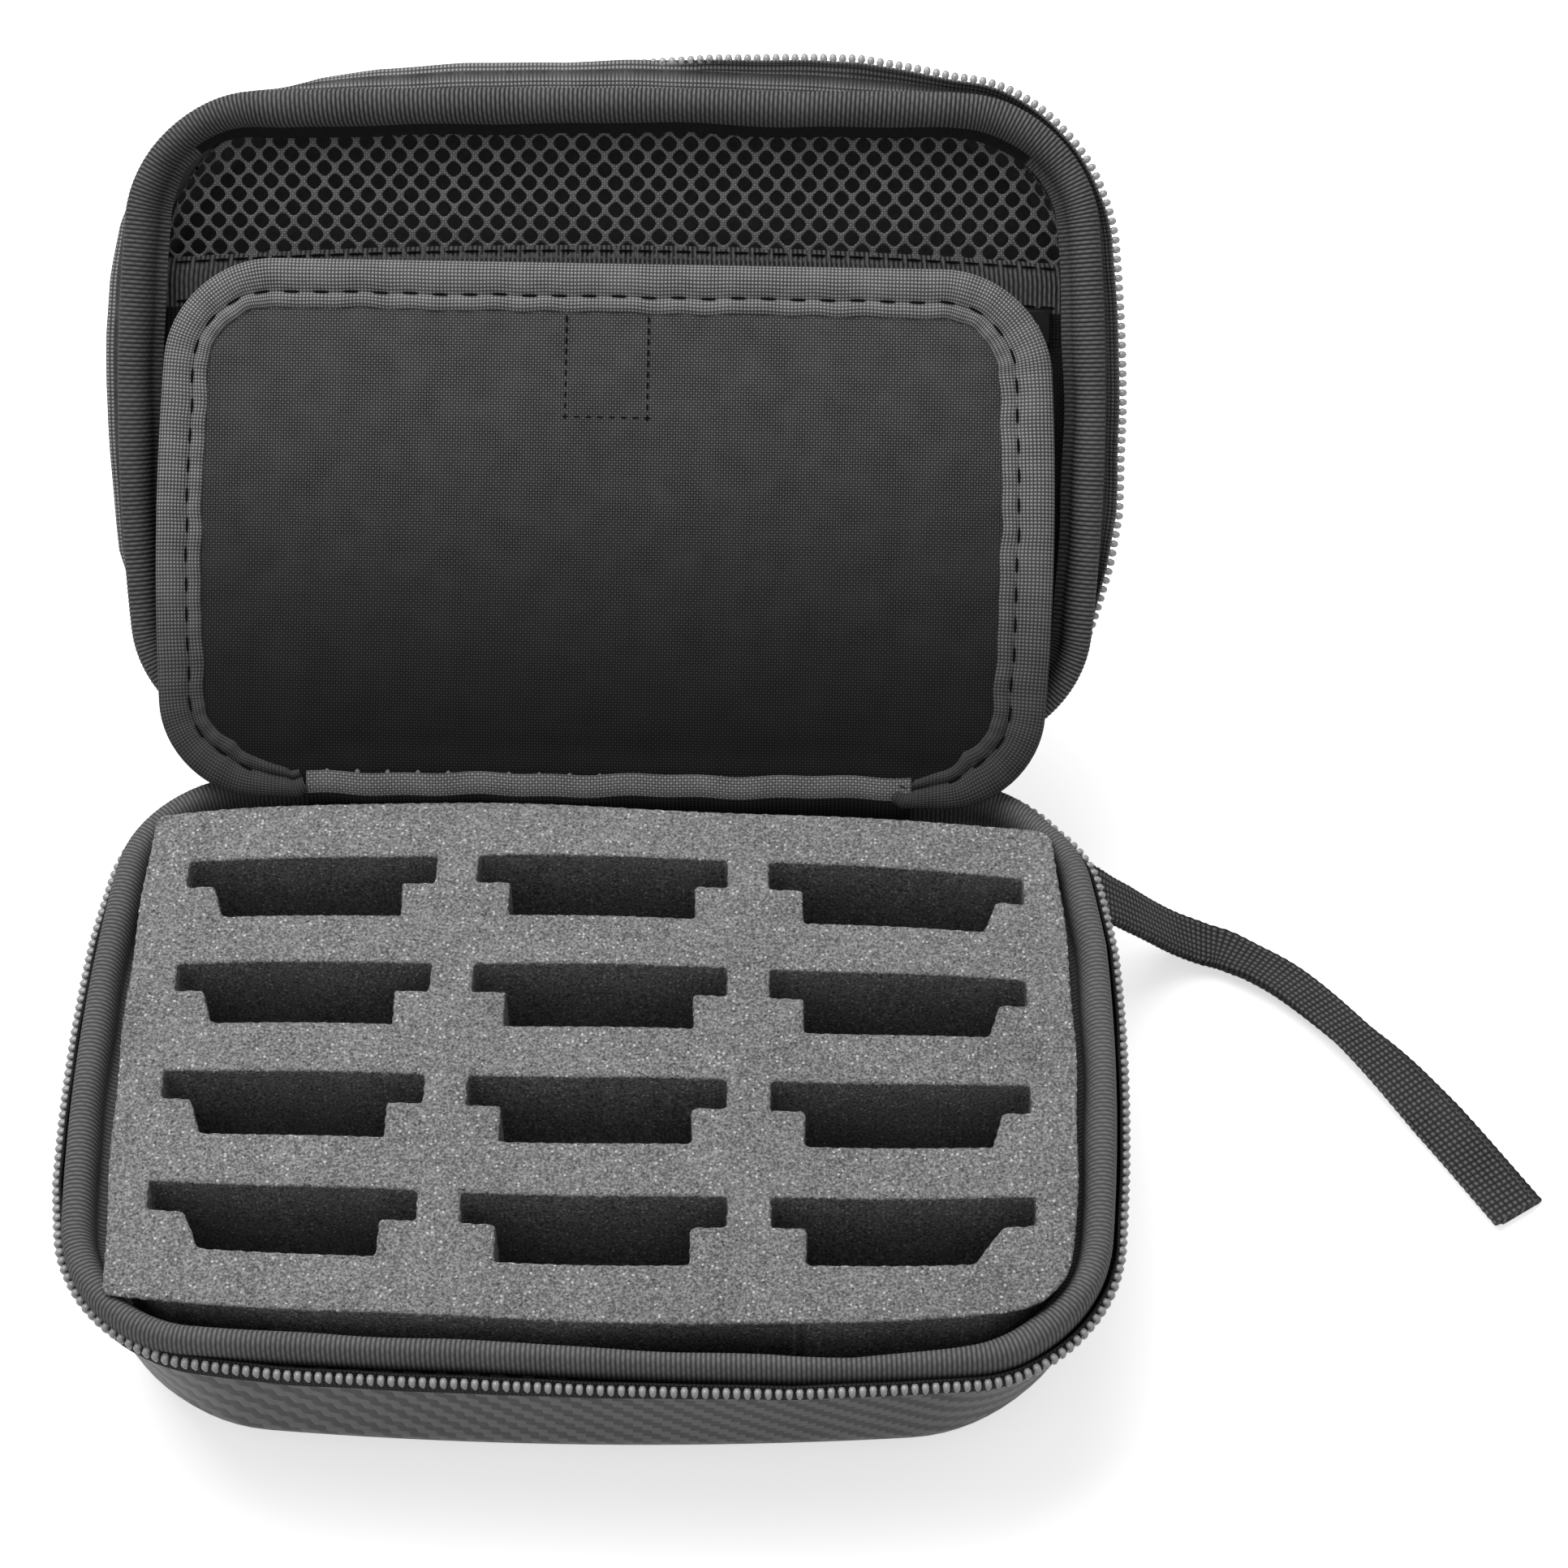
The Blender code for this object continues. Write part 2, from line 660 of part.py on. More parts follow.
def pocket_net():
    """Open net with staggered diamond gaps, in a plain hem."""
    front, rear = pocket_lines()[:2]
    outline = pocket_outline(front, rear - GAP / 2)
    low = min(y for _, y in outline) + NET_HEM
    high = rear - NET_HEM
    half = max(x for x, _ in outline) - NET_HEM
    step_x = 2 * half / (NET_COLUMNS + 0.5)
    step_y = (high - low) / (NET_ROWS + 1)
    reach_x = (step_x - NET_STRAND) / 2
    reach_y = step_y - NET_STRAND / 2
    holes = []
    for row in range(NET_ROWS):
        y = low + (row + 1) * step_y
        for column in range(NET_COLUMNS):
            x = -half + (column + 0.5 + 0.5 * (row % 2)) * step_x
            corner = [(x - reach_x, y), (x, y - reach_y), (x + reach_x, y), (x, y + reach_y)]
            if all(inside(point, outline, NET_HEM) for point in corner):
                holes.append(corner)
    return slab_with_holes([outline, outline], holes, pocket_z(PANEL))


def inside(point, outline, margin):
    """True where a point lies inside a convex outline by a margin."""
    for first, last in zip(outline, outline[1:] + outline[:1]):
        run = Vector(last) - Vector(first)
        if run.length > 0.0:
            aside = Vector((-run.y, run.x)).normalized()
            if (Vector(point) - Vector(first)).dot(aside) < margin:
                return False
    return True


def pocket_coil():
    """Closed coil of the pocket zip, straight across the lid."""
    front = pocket_lines()[3] + GAP
    half = HALF_WIDTH - BINDING_WIDTH - POCKET_ZIP_END
    low, high = pocket_z(POCKET_COIL_HEIGHT)
    return box((-half, front, low), (half, front + POCKET_COIL_WIDTH, high))


def extruded(outline, start, run):
    """Solid from a closed outline of points, pushed along a vector."""
    mesh = bmesh.new()
    moved = Vector(run)
    base = [Vector(point) + Vector(start) for point in outline]
    loops = stitch_rings(mesh, [base, [point + moved for point in base]], False, True)
    mesh.faces.new(loops[0])
    mesh.faces.new(loops[1])
    return mesh


def join_by_union(name, body, extra, slot, parent, place):
    """Two closed solids made into one object by a union."""
    made = add(name, body, slot, parent, smooth=False)
    cutter = add(name + "_bail", extra, slot, parent, smooth=False)
    cutter.hide_render = True
    cutter.display_type = "WIRE"
    union = made.modifiers.new("bail", "BOOLEAN")
    union.operation = "UNION"
    union.object = cutter
    made.matrix_local = place
    cutter.matrix_local = place
    return made


def slider_rise(chain_height):
    """Height of the slider's top over the chain's middle plane."""
    return chain_height / 2 + GAP + SLIDER_HEIGHT


def zip_slider(name, chain_height, parent, place):
    """Channel that straddles the chain along local X, with a bail across it for the pull."""
    top = slider_rise(chain_height)
    roof = chain_height / 2 + GAP
    lip = PANEL / 2 + SLIDER_LIP
    half = SLIDER_WIDTH / 2
    channel = SLIDER_CHANNEL / 2
    chamfer = SLIDER_HEIGHT / 3
    section = [
        (0.0, -half, lip), (0.0, -channel, lip), (0.0, -channel, roof), (0.0, channel, roof),
        (0.0, channel, lip), (0.0, half, lip), (0.0, half, top - chamfer), (0.0, half - chamfer, top),
        (0.0, chamfer - half, top), (0.0, -half, top - chamfer),
    ]
    body = extruded(section, (-SLIDER_LENGTH / 2, 0.0, 0.0), (SLIDER_LENGTH, 0.0, 0.0))
    reach = BAIL_SPAN / 2
    sunk = top - chamfer
    crown = top + BAIL_RISE
    arch = [
        (0.0, -reach, sunk), (0.0, -reach, crown - BAIL_BAR), (0.0, BAIL_BAR - reach, crown),
        (0.0, reach - BAIL_BAR, crown), (0.0, reach, crown - BAIL_BAR), (0.0, reach, sunk),
        (0.0, reach - BAIL_BAR, sunk), (0.0, reach - BAIL_BAR, crown - BAIL_BAR),
        (0.0, BAIL_BAR - reach, crown - BAIL_BAR), (0.0, BAIL_BAR - reach, sunk),
    ]
    bail = extruded(arch, (-BAIL_WIDTH / 2, 0.0, 0.0), (BAIL_WIDTH, 0.0, 0.0))
    return join_by_union(name, body, bail, "metal", parent, place)


def pull_height(chain_height):
    """Height of the pull's pivot line, under the bail."""
    return slider_rise(chain_height) + (BAIL_RISE - BAIL_BAR) / 2


def zip_pull(name, length, parent):
    """Flat tab whose end bar turns under the bail; it hangs along local Y."""
    half = PULL_WIDTH / 2
    eye = BAIL_WIDTH / 2 + 2 * GAP
    start = -PULL_BAR / 2
    taper = half * 0.7
    outline = [(-taper, start), (taper, start), (half, length * 0.3), (half, length - half), (taper, length),
               (-taper, length), (-half, length - half), (-half, length * 0.3)]
    inner = PULL_BAR / 2
    hole = [(-eye, inner), (eye, inner), (eye, BAIL_SPAN / 2 + 3 * GAP), (-eye, BAIL_SPAN / 2 + 3 * GAP)]
    mesh = slab_with_holes([outline, outline], [hole], [-PULL_THICKNESS / 2, PULL_THICKNESS / 2])
    return add(name, mesh, "metal", parent, smooth=False)


def smooth_route(points, steps):
    """Points of a smooth curve through a route, with its ends."""
    places = [Vector(point) for point in points]
    padded = [2 * places[0] - places[1]] + places + [2 * places[-1] - places[-2]]
    made = []
    for index in range(1, len(padded) - 2):
        before, start, end, after = padded[index - 1:index + 3]
        for step in range(steps):
            t = step / steps
            made.append(0.5 * (2 * start + (end - before) * t
                               + (2 * before - 5 * start + 4 * end - after) * t * t
                               + (3 * start - before - 3 * end + after) * t * t * t))
    return made + [places[-1]]


def wrist_strap():
    """Doubled webbing swept flat along its route, broad side up."""
    mesh = bmesh.new()
    route = smooth_route(STRAP_ROUTE, STRAP_STEPS)
    rings = []
    for index, place in enumerate(route):
        run = route[min(index + 1, len(route) - 1)] - route[max(index - 1, 0)]
        across = Vector((run.y, -run.x, 0.0)).normalized() * (STRAP_WIDTH / 2)
        up = across.cross(run).normalized() * (STRAP_THICKNESS / 2)
        if up.z < 0:
            up = -up
        rings.append([place - across - up, place + across - up, place + across + up, place - across + up])
    loops = stitch_rings(mesh, rings, False, True)
    mesh.faces.new(loops[0])
    mesh.faces.new(loops[-1])
    return mesh


def build_base():
    add("base_shell", tub(SHELL_SET_IN, WALL, BASE_HEIGHT, -1), "shell")
    lining_in = SHELL_SET_IN + WALL + GAP
    add("base_lining", tub(lining_in, LINING, BASE_HEIGHT - WALL - GAP, -1), "lining")
    add("base_binding", sweep(roll_profile(), -1, True), "binding")
    add("base_zip_tape", sweep(tape_profile(), -1, False), "tape")
    add("base_zip_teeth", zip_teeth(-1), "teeth", smooth=False)
    add("base_hinge_cloth", hinge_leaf(-1), "tape")
    add("foam_insert", foam_insert(), "foam", smooth=False)
    add("foam_floor_pad", foam_floor_pad(), "foam", smooth=False)
    add("flap_hinge_strip", hinge_strip(), "flap_binding")
    add("wrist_strap", wrist_strap(), "webbing")


def build_lid():
    hinge = (0.0, HINGE_Y, RIM_Z)
    lid = pivot("lid_pivot", hinge, -LID_OPEN)
    lining_in = SHELL_SET_IN + WALL + GAP
    add("lid_shell", tub(SHELL_SET_IN, WALL, LID_HEIGHT, 1), "shell", lid, hinge)
    add("lid_lining", tub(lining_in, LINING, LID_HEIGHT - WALL - GAP, 1), "lining", lid, hinge)
    add("lid_binding", sweep(roll_profile(), 1, True), "binding", lid, hinge)
    add("lid_zip_tape", sweep(tape_profile(), 1, False), "tape", lid, hinge)
    add("lid_zip_teeth", zip_teeth(1), "teeth", lid, hinge, smooth=False)
    add("lid_hinge_cloth", hinge_leaf(1), "tape", lid, hinge)
    _, band, tape, coil, second, panel, rear = pocket_lines()
    add("pocket_net", pocket_net(), "net", lid, hinge, smooth=False)
    add("pocket_band", pocket_plate(band, tape), "binding", lid, hinge)
    add("pocket_zip_front_tape", pocket_plate(tape, coil), "tape", lid, hinge)
    add("pocket_zip_coil", pocket_coil(), "teeth", lid, hinge)
    add("pocket_zip_rear_tape", pocket_plate(second, panel), "tape", lid, hinge)
    add("pocket_panel", pocket_plate(panel, rear), "cloth", lid, hinge)
    face = RIM_Z + POCKET_DEPTH - PANEL / 2
    add("pocket_loop_patch", patch(loop_patch_front(), face, -1), "lining", lid, hinge)
    build_pocket_slider(lid, Vector(hinge))


def build_pocket_slider(lid, hinge):
    """Slider at the right end of the pocket zip; local Z faces into the case."""
    half = HALF_WIDTH - BINDING_WIDTH - POCKET_ZIP_END
    coil_y = pocket_lines()[3] + GAP + POCKET_COIL_WIDTH / 2
    place = Vector((half - SLIDER_LENGTH / 2, coil_y, RIM_Z + POCKET_DEPTH)) - hinge
    facing_in = Matrix(((-1, 0, 0), (0, 1, 0), (0, 0, -1))).to_4x4()
    seat = Matrix.Translation(place) @ facing_in
    zip_slider("pocket_slider", POCKET_COIL_HEIGHT, lid, seat)
    pull = zip_pull("pocket_pull", PULL_LENGTH, lid)
    pull.matrix_local = seat @ Matrix.Translation((0.0, 0.0, pull_height(POCKET_COIL_HEIGHT)))


def build_outer_sliders():
    """Two sliders of the main zip, parked at its rear ends with their pulls hanging."""
    facing_back = Matrix(((1, 0, 0), (0, 0, 1), (0, -1, 0))).to_4x4()
    for side, x in (("left", -ZIP_SLIDER_X), ("right", ZIP_SLIDER_X)):
        chain = 2 * TOOTH_REACH
        place = Matrix.Translation((x, HALF_DEPTH + TEETH_OUT, RIM_Z - TEETH_DEPTH)) @ facing_back
        zip_slider("zip_slider_" + side, chain, None, place)
        pull = zip_pull("zip_pull_" + side, ZIP_PULL_LENGTH, None)
        pull.matrix_local = place @ Matrix.Translation((0.0, 0.0, pull_height(chain)))


def build_flap():
    axis = (0.0, FLAP_PIVOT_Y, FLAP_PIVOT_Z)
    flap = pivot("flap_pivot", axis, -FLAP_OPEN)
    add("flap_panel", flap_panel(), "cloth", flap, axis)
    add("flap_binding", flap_binding(), "flap_binding", flap, axis)
    back = FLAP_FACE_Z + FLAP_BINDING + GAP + FLAP_CORE + FLAP_CROWN
    add("flap_hook_patch", patch(hook_patch_front(), back, 1), "lining", flap, axis)


clear_scene()
build_base()
build_lid()
build_outer_sliders()
build_flap()
bpy.context.view_layer.update()
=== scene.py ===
"""Looks of the carry case: woven shell, bound rims, toothed zip, cut foam, padded flap and net pocket.

Every piece is drawn with the case closed, as its halves are sewn, and then swung to its open place.
"""
import json
import math

import bmesh
import bpy
import numpy as np
from mathutils import Matrix, Vector
from mathutils.geometry import tessellate_polygon


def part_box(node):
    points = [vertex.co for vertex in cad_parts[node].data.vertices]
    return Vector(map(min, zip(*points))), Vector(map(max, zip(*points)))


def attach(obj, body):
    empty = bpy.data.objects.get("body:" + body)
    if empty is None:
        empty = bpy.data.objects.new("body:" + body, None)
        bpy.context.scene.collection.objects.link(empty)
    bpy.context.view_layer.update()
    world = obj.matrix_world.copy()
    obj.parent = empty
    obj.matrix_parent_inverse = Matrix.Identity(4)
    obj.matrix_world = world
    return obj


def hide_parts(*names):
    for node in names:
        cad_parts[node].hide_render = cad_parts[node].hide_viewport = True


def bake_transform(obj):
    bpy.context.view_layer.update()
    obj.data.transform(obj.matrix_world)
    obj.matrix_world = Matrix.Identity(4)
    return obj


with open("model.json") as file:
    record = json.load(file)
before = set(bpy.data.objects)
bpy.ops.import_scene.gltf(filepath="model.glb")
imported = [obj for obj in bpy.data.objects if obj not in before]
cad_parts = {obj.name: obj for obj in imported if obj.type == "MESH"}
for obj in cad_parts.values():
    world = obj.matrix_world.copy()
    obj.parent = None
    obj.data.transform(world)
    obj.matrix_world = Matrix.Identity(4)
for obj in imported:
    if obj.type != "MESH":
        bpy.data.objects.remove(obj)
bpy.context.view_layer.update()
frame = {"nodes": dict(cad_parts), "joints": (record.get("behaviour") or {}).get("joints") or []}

JOINTS = {joint["name"]: joint for joint in frame["joints"]}

# Case halves, metres, as in the solids
HALF_WIDTH = 0.0970
HALF_DEPTH = 0.0660
CORNER_RADIUS = 0.0235
CORNER_STEPS = 17            # points on a rounded corner
LEAST_RADIUS = 0.0004
SIDE_BOW = 0.0050
FRONT_BOW = 0.0050
LID_HEIGHT = 0.0320
BOTTOM_RADIUS = 0.0130
CORNER_GAIN = 0.0060
WALL_DRAFT = 0.0030
WALL = 0.0026
SHELL_SET_IN = 0.0008
LINING = 0.0008
GAP = 0.0003
HINGE = Vector(JOINTS["lid_hinge"]["pos_m"])
RIM_Z = HINGE.z
BASE_HEIGHT = RIM_Z
LID_OPEN = math.radians(JOINTS["lid_hinge"]["range_deg"][1])

# Cloth
TWILL_LEAN = (0.235, 0.375, 0.75, 1.80)      # the shell's weave crowds from its front's left to its right,
TWILL_EASE = (0.430, 0.600)                  # and eases again round the right side to the rear
RIB_STITCH = 2.4             # length of a ribbed cloth's stitches, in ribs,
RIB_STAGGER = 0.618          # and how far each rib's stitches lie past the last one's
CLOUD_THREADS = 14.0         # threads across a worn patch
THREAD_FIBRES = 3.5          # fibres across a thread

# Rim
BINDING_HEIGHT = 0.0078
BINDING_RIB = 0.00093
ROLL_WIDTHS = {              # roll of cloth over the rim, at the sides, front and rear
    "base": (0.0081, 0.0074, 0.0070),
    "lid": (0.0085, 0.0090, 0.0040),
}
ROLL_DIP = {"base": 0.0003, "lid": 0.0}      # how far the roll sinks along the front
ROLL_SECTION = (             # share of its width inwards, depth below the rim
    (0.00, 0.0046), (-0.02, 0.0026), (-0.08, 0.0012), (-0.18, 0.0005), (-0.32, 0.0003), (-0.46, 0.0005),
    (-0.58, 0.0012), (-0.67, 0.0023), (-0.735, 0.0038), (-0.765, 0.0056), (-0.775, 0.0072), (-0.86, 0.0079),
    (-1.00, 0.0085), (-0.92, 0.0089), (-0.60, 0.0086), (-0.30, 0.0083), (-0.10, 0.0078), (-0.02, 0.0066),
)
ROLL_PAINTED_SHADE = (10, 11, 12)    # faces of the section's flank below the roll that get a dark finish as painted shade,
SKIRT_FACES = -0.75          # where the rim faces the front by at least this much
ROLL_CLOTH = 0.0080          # width of the cloth's pattern across the roll
ROLL_WANDER = 0.00045
LIE_SAG = 0.7                # the rim sags by this share of its lie outwards
ROLL_RIB = {"base": 0.00004, "lid": 0.00007}
ROLL_LIE = {                 # distance along the rim, shift outwards of the roll's outer and inner edge, sag
    "base": ((0.225, 0.0, 0.0, 0.0), (0.262, -0.0006, 0.0, 0.0), (0.300, -0.0008, 0.0002, 0.0),
             (0.346, -0.0006, 0.0020, 0.0010), (0.361, -0.0004, 0.0030, 0.0018),
             (0.380, 0.0, 0.0016, 0.0010), (0.398, 0.0, 0.0, 0.0)),
    "lid": ((0.195, 0.0, 0.0, 0.0), (0.212, 0.0, 0.0012, 0.0), (0.228, -0.0002, 0.0002, 0.0),
            (0.242, -0.0006, -0.0014, 0.0), (0.273, -0.0018, -0.0020, 0.0), (0.306, -0.0022, -0.0022, 0.0),
            (0.346, -0.0020, -0.0020, 0.0), (0.362, -0.0010, -0.0012, 0.0), (0.380, 0.0, 0.0, 0.0)),
}
TEETH_DEPTH = 0.0070
TOOTH_PITCH = 0.00194
TOOTH_SIZE = (0.00134, 0.0018, 0.0033)
TOOTH_OUT = 0.0006           # the teeth stand outside the tape's edge,
TOOTH_TURN = (-0.0018, 0.0040)               # and move in and off the rim where the tape is turned back
TOOTH_SHADE = (1.7, 4.3)     # rings of a tooth between which its painted shade at the foot turns to a painted highlight at the crown
TEETH_STEPS = 900
RIM_LIE = {                  # distance along the rim, and how far the sewn rim lies outside its drawn line
    "base": ((0.000, 0.0), (0.290, 0.0), (0.318, 0.0006), (0.350, 0.0014), (0.372, 0.0013), (0.392, 0.0012),
             (0.406, 0.0006), (0.420, 0.0), (0.492, 0.0), (0.510, -0.0014), (0.525, -0.0028),
             (0.548, 0.0), (0.612, 0.0)),
    "lid": ((0.000, 0.0), (0.612, 0.0)),
}
TAPE_LIE = {                 # distance along the rim, stand-off of the tape's edge, share turned back
    "base": ((0.060, 0.0002, 0.0), (0.108, 0.0002, 0.0), (0.128, 0.0012, 0.0), (0.185, 0.0012, 0.0),
             (0.205, -0.0002, 0.0), (0.226, -0.0004, 0.0), (0.255, 0.0012, 0.0), (0.560, 0.0012, 0.0)),
    "lid": ((0.060, -0.0006, 1.0), (0.118, -0.0006, 1.0), (0.124, 0.0012, 1.0), (0.128, 0.0023, 1.0),
            (0.140, 0.0028, 1.0), (0.151, 0.0032, 1.0), (0.162, 0.0037, 1.0), (0.173, 0.0038, 1.0),
            (0.184, 0.0034, 1.0), (0.195, 0.0022, 1.0), (0.204, -0.0006, 1.0), (0.240, -0.0006, 1.0),
            (0.250, 0.0016, 1.0), (0.262, 0.0028, 1.0), (0.279, 0.0034, 1.0), (0.300, 0.0032, 1.0),
            (0.312, 0.0037, 0.9), (0.320, 0.0037, 0.6), (0.330, 0.0040, 0.3), (0.340, 0.0042, 0.2),
            (0.350, 0.0045, 0.1), (0.360, 0.0047, 0.0), (0.370, 0.0037, 0.0), (0.380, 0.0025, 0.0),
            (0.391, 0.0019, 0.0), (0.404, 0.0012, 0.0), (0.418, 0.0013, 0.0), (0.427, 0.0025, 0.0),
            (0.449, 0.0029, 0.0), (0.462, 0.0030, 0.0), (0.472, 0.0028, 0.0), (0.483, 0.0030, 0.0),
            (0.494, 0.0018, 0.0), (0.505, 0.0002, 0.3), (0.514, -0.0006, 1.0), (0.560, -0.0006, 1.0)),
}
TAPE_FOOT = {"base": -0.0024, "lid": -0.0040}
TAPE_REACH = {               # share of the stand-off, from the tape's foot to its edge
    "base": (0.0, 1.0, 1.0, 1.0, 1.0),
    "lid": (0.0, 0.0, 0.45, 0.90, 1.0),
}
TAPE_UPRIGHT = {             # depth of the same places where the tape stands up
    "base": (0.0126, 0.0118, 0.0098, 0.0070, 0.0052),
    "lid": (0.0076, 0.0078, 0.0080, 0.0066, 0.0052),
}
TAPE_BACK = (0.0076, 0.0076, 0.0080, 0.0088, 0.0100)        # and where it is turned back
TAPE_EASE = (0.0, 0.5, 1.0, 1.0, 1.0)        # share of the rim's lie that each place follows
TAPE_THICKNESS = (0.0005, 0.0004)            # where it stands up, and what turning back adds below
TAPE_STEPS = 700
TAPE_LAP = 0.0020            # the tape runs on past the zip's ends
TAPE_WANDER = 0.00012
LID_DRAW = 0.0006            # the lid's right side is drawn in by its zip
HINGE_LENGTH = 0.1240
HINGE_CLOTH_LINE = (         # behind the rear rim line, and below the meeting plane
    (0.0004, -0.0113), (0.0011, -0.0085), (0.0019, -0.0045), (0.0026, -0.0012),
)
HINGE_CLOTH = 0.0007
HINGE_CLOTH_END = 0.0025     # the cloth stops short of the zip's ends and its tapes
HINGE_CLOTH_RISE = 0.0002
SLIDER_LENGTH = 0.0090
SHELL_TOP = BINDING_HEIGHT + 2 * GAP

# Foam
FOAM_TOP = RIM_Z + 0.0007
FOAM_BOTTOM = 0.0123
FOAM_LIP = RIM_Z + 0.0001    # underside of the corners that lap the binding
FOAM_LIP_SLOPE = 0.0004
FOAM_BOW_REACH = 0.0300      # how far in from a side its bow still moves the outline
FOAM_OPENING = 0.0079        # foam below the rim, inside the rim's outer line
FOAM_EDGE = 0.0006           # softened edge of the cut foam
FOAM_RAGGED = 0.00007
FOAM_MIDDLE = 0.0300         # a ring between its top and bottom
FOAM_GRAIN = 1900.0          # grains, cells and cloudy patches in a metre
FOAM_CELLS = 1150.0
FOAM_CLOUDS = 90.0
FOAM_PITS = 0.00022
FOAM_REAR = 0.0570           # the block stops here, in front of the flap's hem
FOAM_CORNERS = ((-0.0925, 0.0534), (-0.0893, -0.0586), (0.0914, -0.0582), (0.0906, 0.0520))
FOAM_CORNER_RADII = (0.0022, 0.0020, 0.0130, 0.0035)
FOAM_BOWS = (                # each side's bow outwards, how square the bow is, and its sway along the side
    (0.0020, 2.0, 0.0), (0.0046, 2.5, -0.0007), (0.0029, 2.0, 0.0), (0.0043, 2.6, -0.0009),
)
SLOT_COLUMNS = 3
SLOT_ROWS = 4
SLOT_PITCH_X = 0.0588
SLOT_PITCH_Y = 0.0256
SLOT_PATTERN_Y = -0.0027
SLOT_WIDE = 0.0505
SLOT_NARROW = 0.0370
SLOT_STEP = 0.0064
SLOT_DEPTH = 0.0142          # from front to rear
SLOT_END = (0.0011, 0.0024)             # outer narrow end: how far out it starts, and its slant
SLOT_FRONT_LEFT_END = (-0.0003, 0.0032)
SLOT_FRONT_RIGHT_END = (0.0006, 0.0060)
SLOT_CORNER = 0.0009
SLOT_FILLS = (8, 8, 9, 38, 9, 8, 8, 54)      # points along each edge
SLOT_PULL_SPAN = (0.090, 0.060)         # how the pressed foam has moved its slots, over this half size:
SLOT_PULL_X = (              # metres for 1, y, x, xy, xx and xxy
    0.00049, -0.00136, 0.00037, 0.00012, 0.00002, 0.00079,
)
SLOT_PULL_Y = (-0.00043, 0.00265, -0.00101, -0.00007, -0.00085, -0.00461)
FLOOR_PAD_IN = 0.0170
FLOOR_PAD_CORNER = 0.0120
FLOOR_PAD_EDGE = (0.0020, 0.0006)            # how far its soft edge draws in, at its faces and next to them

# Divider flap
FLAP_AXIS = Vector(JOINTS["flap_hinge"]["pos_m"])
FLAP_OPEN = math.radians(141.5)
FLAP_TWIST = 0.0090          # the flap hangs a little askew
FLAP_ASIDE = -0.0018
FLAP_HALF_WIDTH = 0.0895
FLAP_LENGTH = 0.1074
FLAP_CORNER = 0.0210
FLAP_BOTTOM_CORNER = 0.0190
FLAP_DROP = 0.0032           # the flap's foot hangs lower outside its hem
FLAP_BOW = 0.0027
FLAP_FACE_Z = RIM_Z + 0.0015
FLAP_THICKNESS = 0.0044
FLAP_START = 0.0010
FLAP_HEM = 0.1200
FLAP_HELD = (0.0005, 0.0030)                 # the foot is held straight this far past its hem, then eases
FLAP_LAP = 0.0103
FLAP_LAP_LEAN = 0.0007       # the binding is sewn wider on the right
HEM_PAINTED_SHADE_BELOW = 0.0519      # the hem is pale above this height; below it, the dark tape's colour is painted shade
FLAP_SKIN = 0.0006
STITCH_IN = 0.68             # place of the binding's stitches across its lap
STITCH_STEP = 0.0061
SEAM_END = 0.0140            # the stitches stop this far from the binding's ends,
SEAM_SUNK = 0.00035          # and lie this far below its face
HEM_LOOPS_END = 0.0040
HEM_LOOPS_IN = 0.0016
HEM_LOOPS_SUNK = 0.0006
EDGE_TUCK = 0.46             # share of the lap that is left at the binding's tucked ends,
EDGE_TUCK_LENGTH = 0.0200    # and the length over which it is tucked
EDGE_STITCH = (0.0033, 0.0006, 0.0006)
HEM_LOOP = (0.0012, 0.0026, 0.0009)
PANEL_CROWN = (              # distance in from the flap's edge, and rise of the padding there
    (0.0012, 0.0004), (0.0014, 0.0008), (0.0022, 0.0011), (0.0060, 0.0012), (0.0086, 0.0013),
    (0.0098, 0.0016), (0.0120, 0.0019), (0.0170, 0.0021), (0.0250, 0.0022), (0.0340, 0.0022),
    (0.0430, 0.0022), (0.0490, 0.0022), (0.0530, 0.0022),
)
PANEL_SWELL = 0.00022        # slow unevenness of the padding
EDGE_SECTION = (             # share of the lap inwards, and how far the binding sinks below its face there
    (1.0, 0.0004), (0.95, 0.0), (0.85, -0.0003), (0.75, 0.0), (STITCH_IN, 0.0006), (0.61, 0.0001),
    (0.48, -0.0004), (0.32, -0.0006), (0.16, -0.0003), (0.06, 0.0003), (0.02, 0.0008),
)
EDGE_FOLD = ((-0.0008, 0.0010), (-0.00015, 0.0016))         # fold round the edge: out, and in from the face
EDGE_STEPS = 900
EDGE_START = 0.0002          # the binding starts just outside the hem
EDGE_WANDER = 0.00040
EDGE_PUCKER = 0.00012        # the cloth rises between its stitches
PATCH_SEAM = ((-0.0084, -0.0376), (-0.0084, -0.0176), (0.0084, -0.0176), (0.0084, -0.0376))
PATCH_STITCH = (0.0015, 0.00045, 0.00060)
PATCH_STITCH_STEP = 0.0022
PATCH_CORNER = 0.0012
PATCH_EDGE = (0.0004, 0.0003)                # soft edge of the sewn patches: inwards and down
HEM_LAP = 0.0020             # the hem's tape runs on behind the binding's ends
HEM_FACE = ((0.0583, 0.0440), (0.0583, 0.0480), (0.0584, 0.0505), (0.0585, HEM_PAINTED_SHADE_BELOW), (0.0587, 0.0530),
            (0.0595, 0.0543), (0.0612, 0.0559))
HEM_BACK = ((0.0590, 0.0440), (0.0590, 0.0480), (0.0591, 0.0502), (0.0594, 0.0521), (0.0596, 0.0529),
            (0.0602, 0.0537), (0.0617, 0.0552))

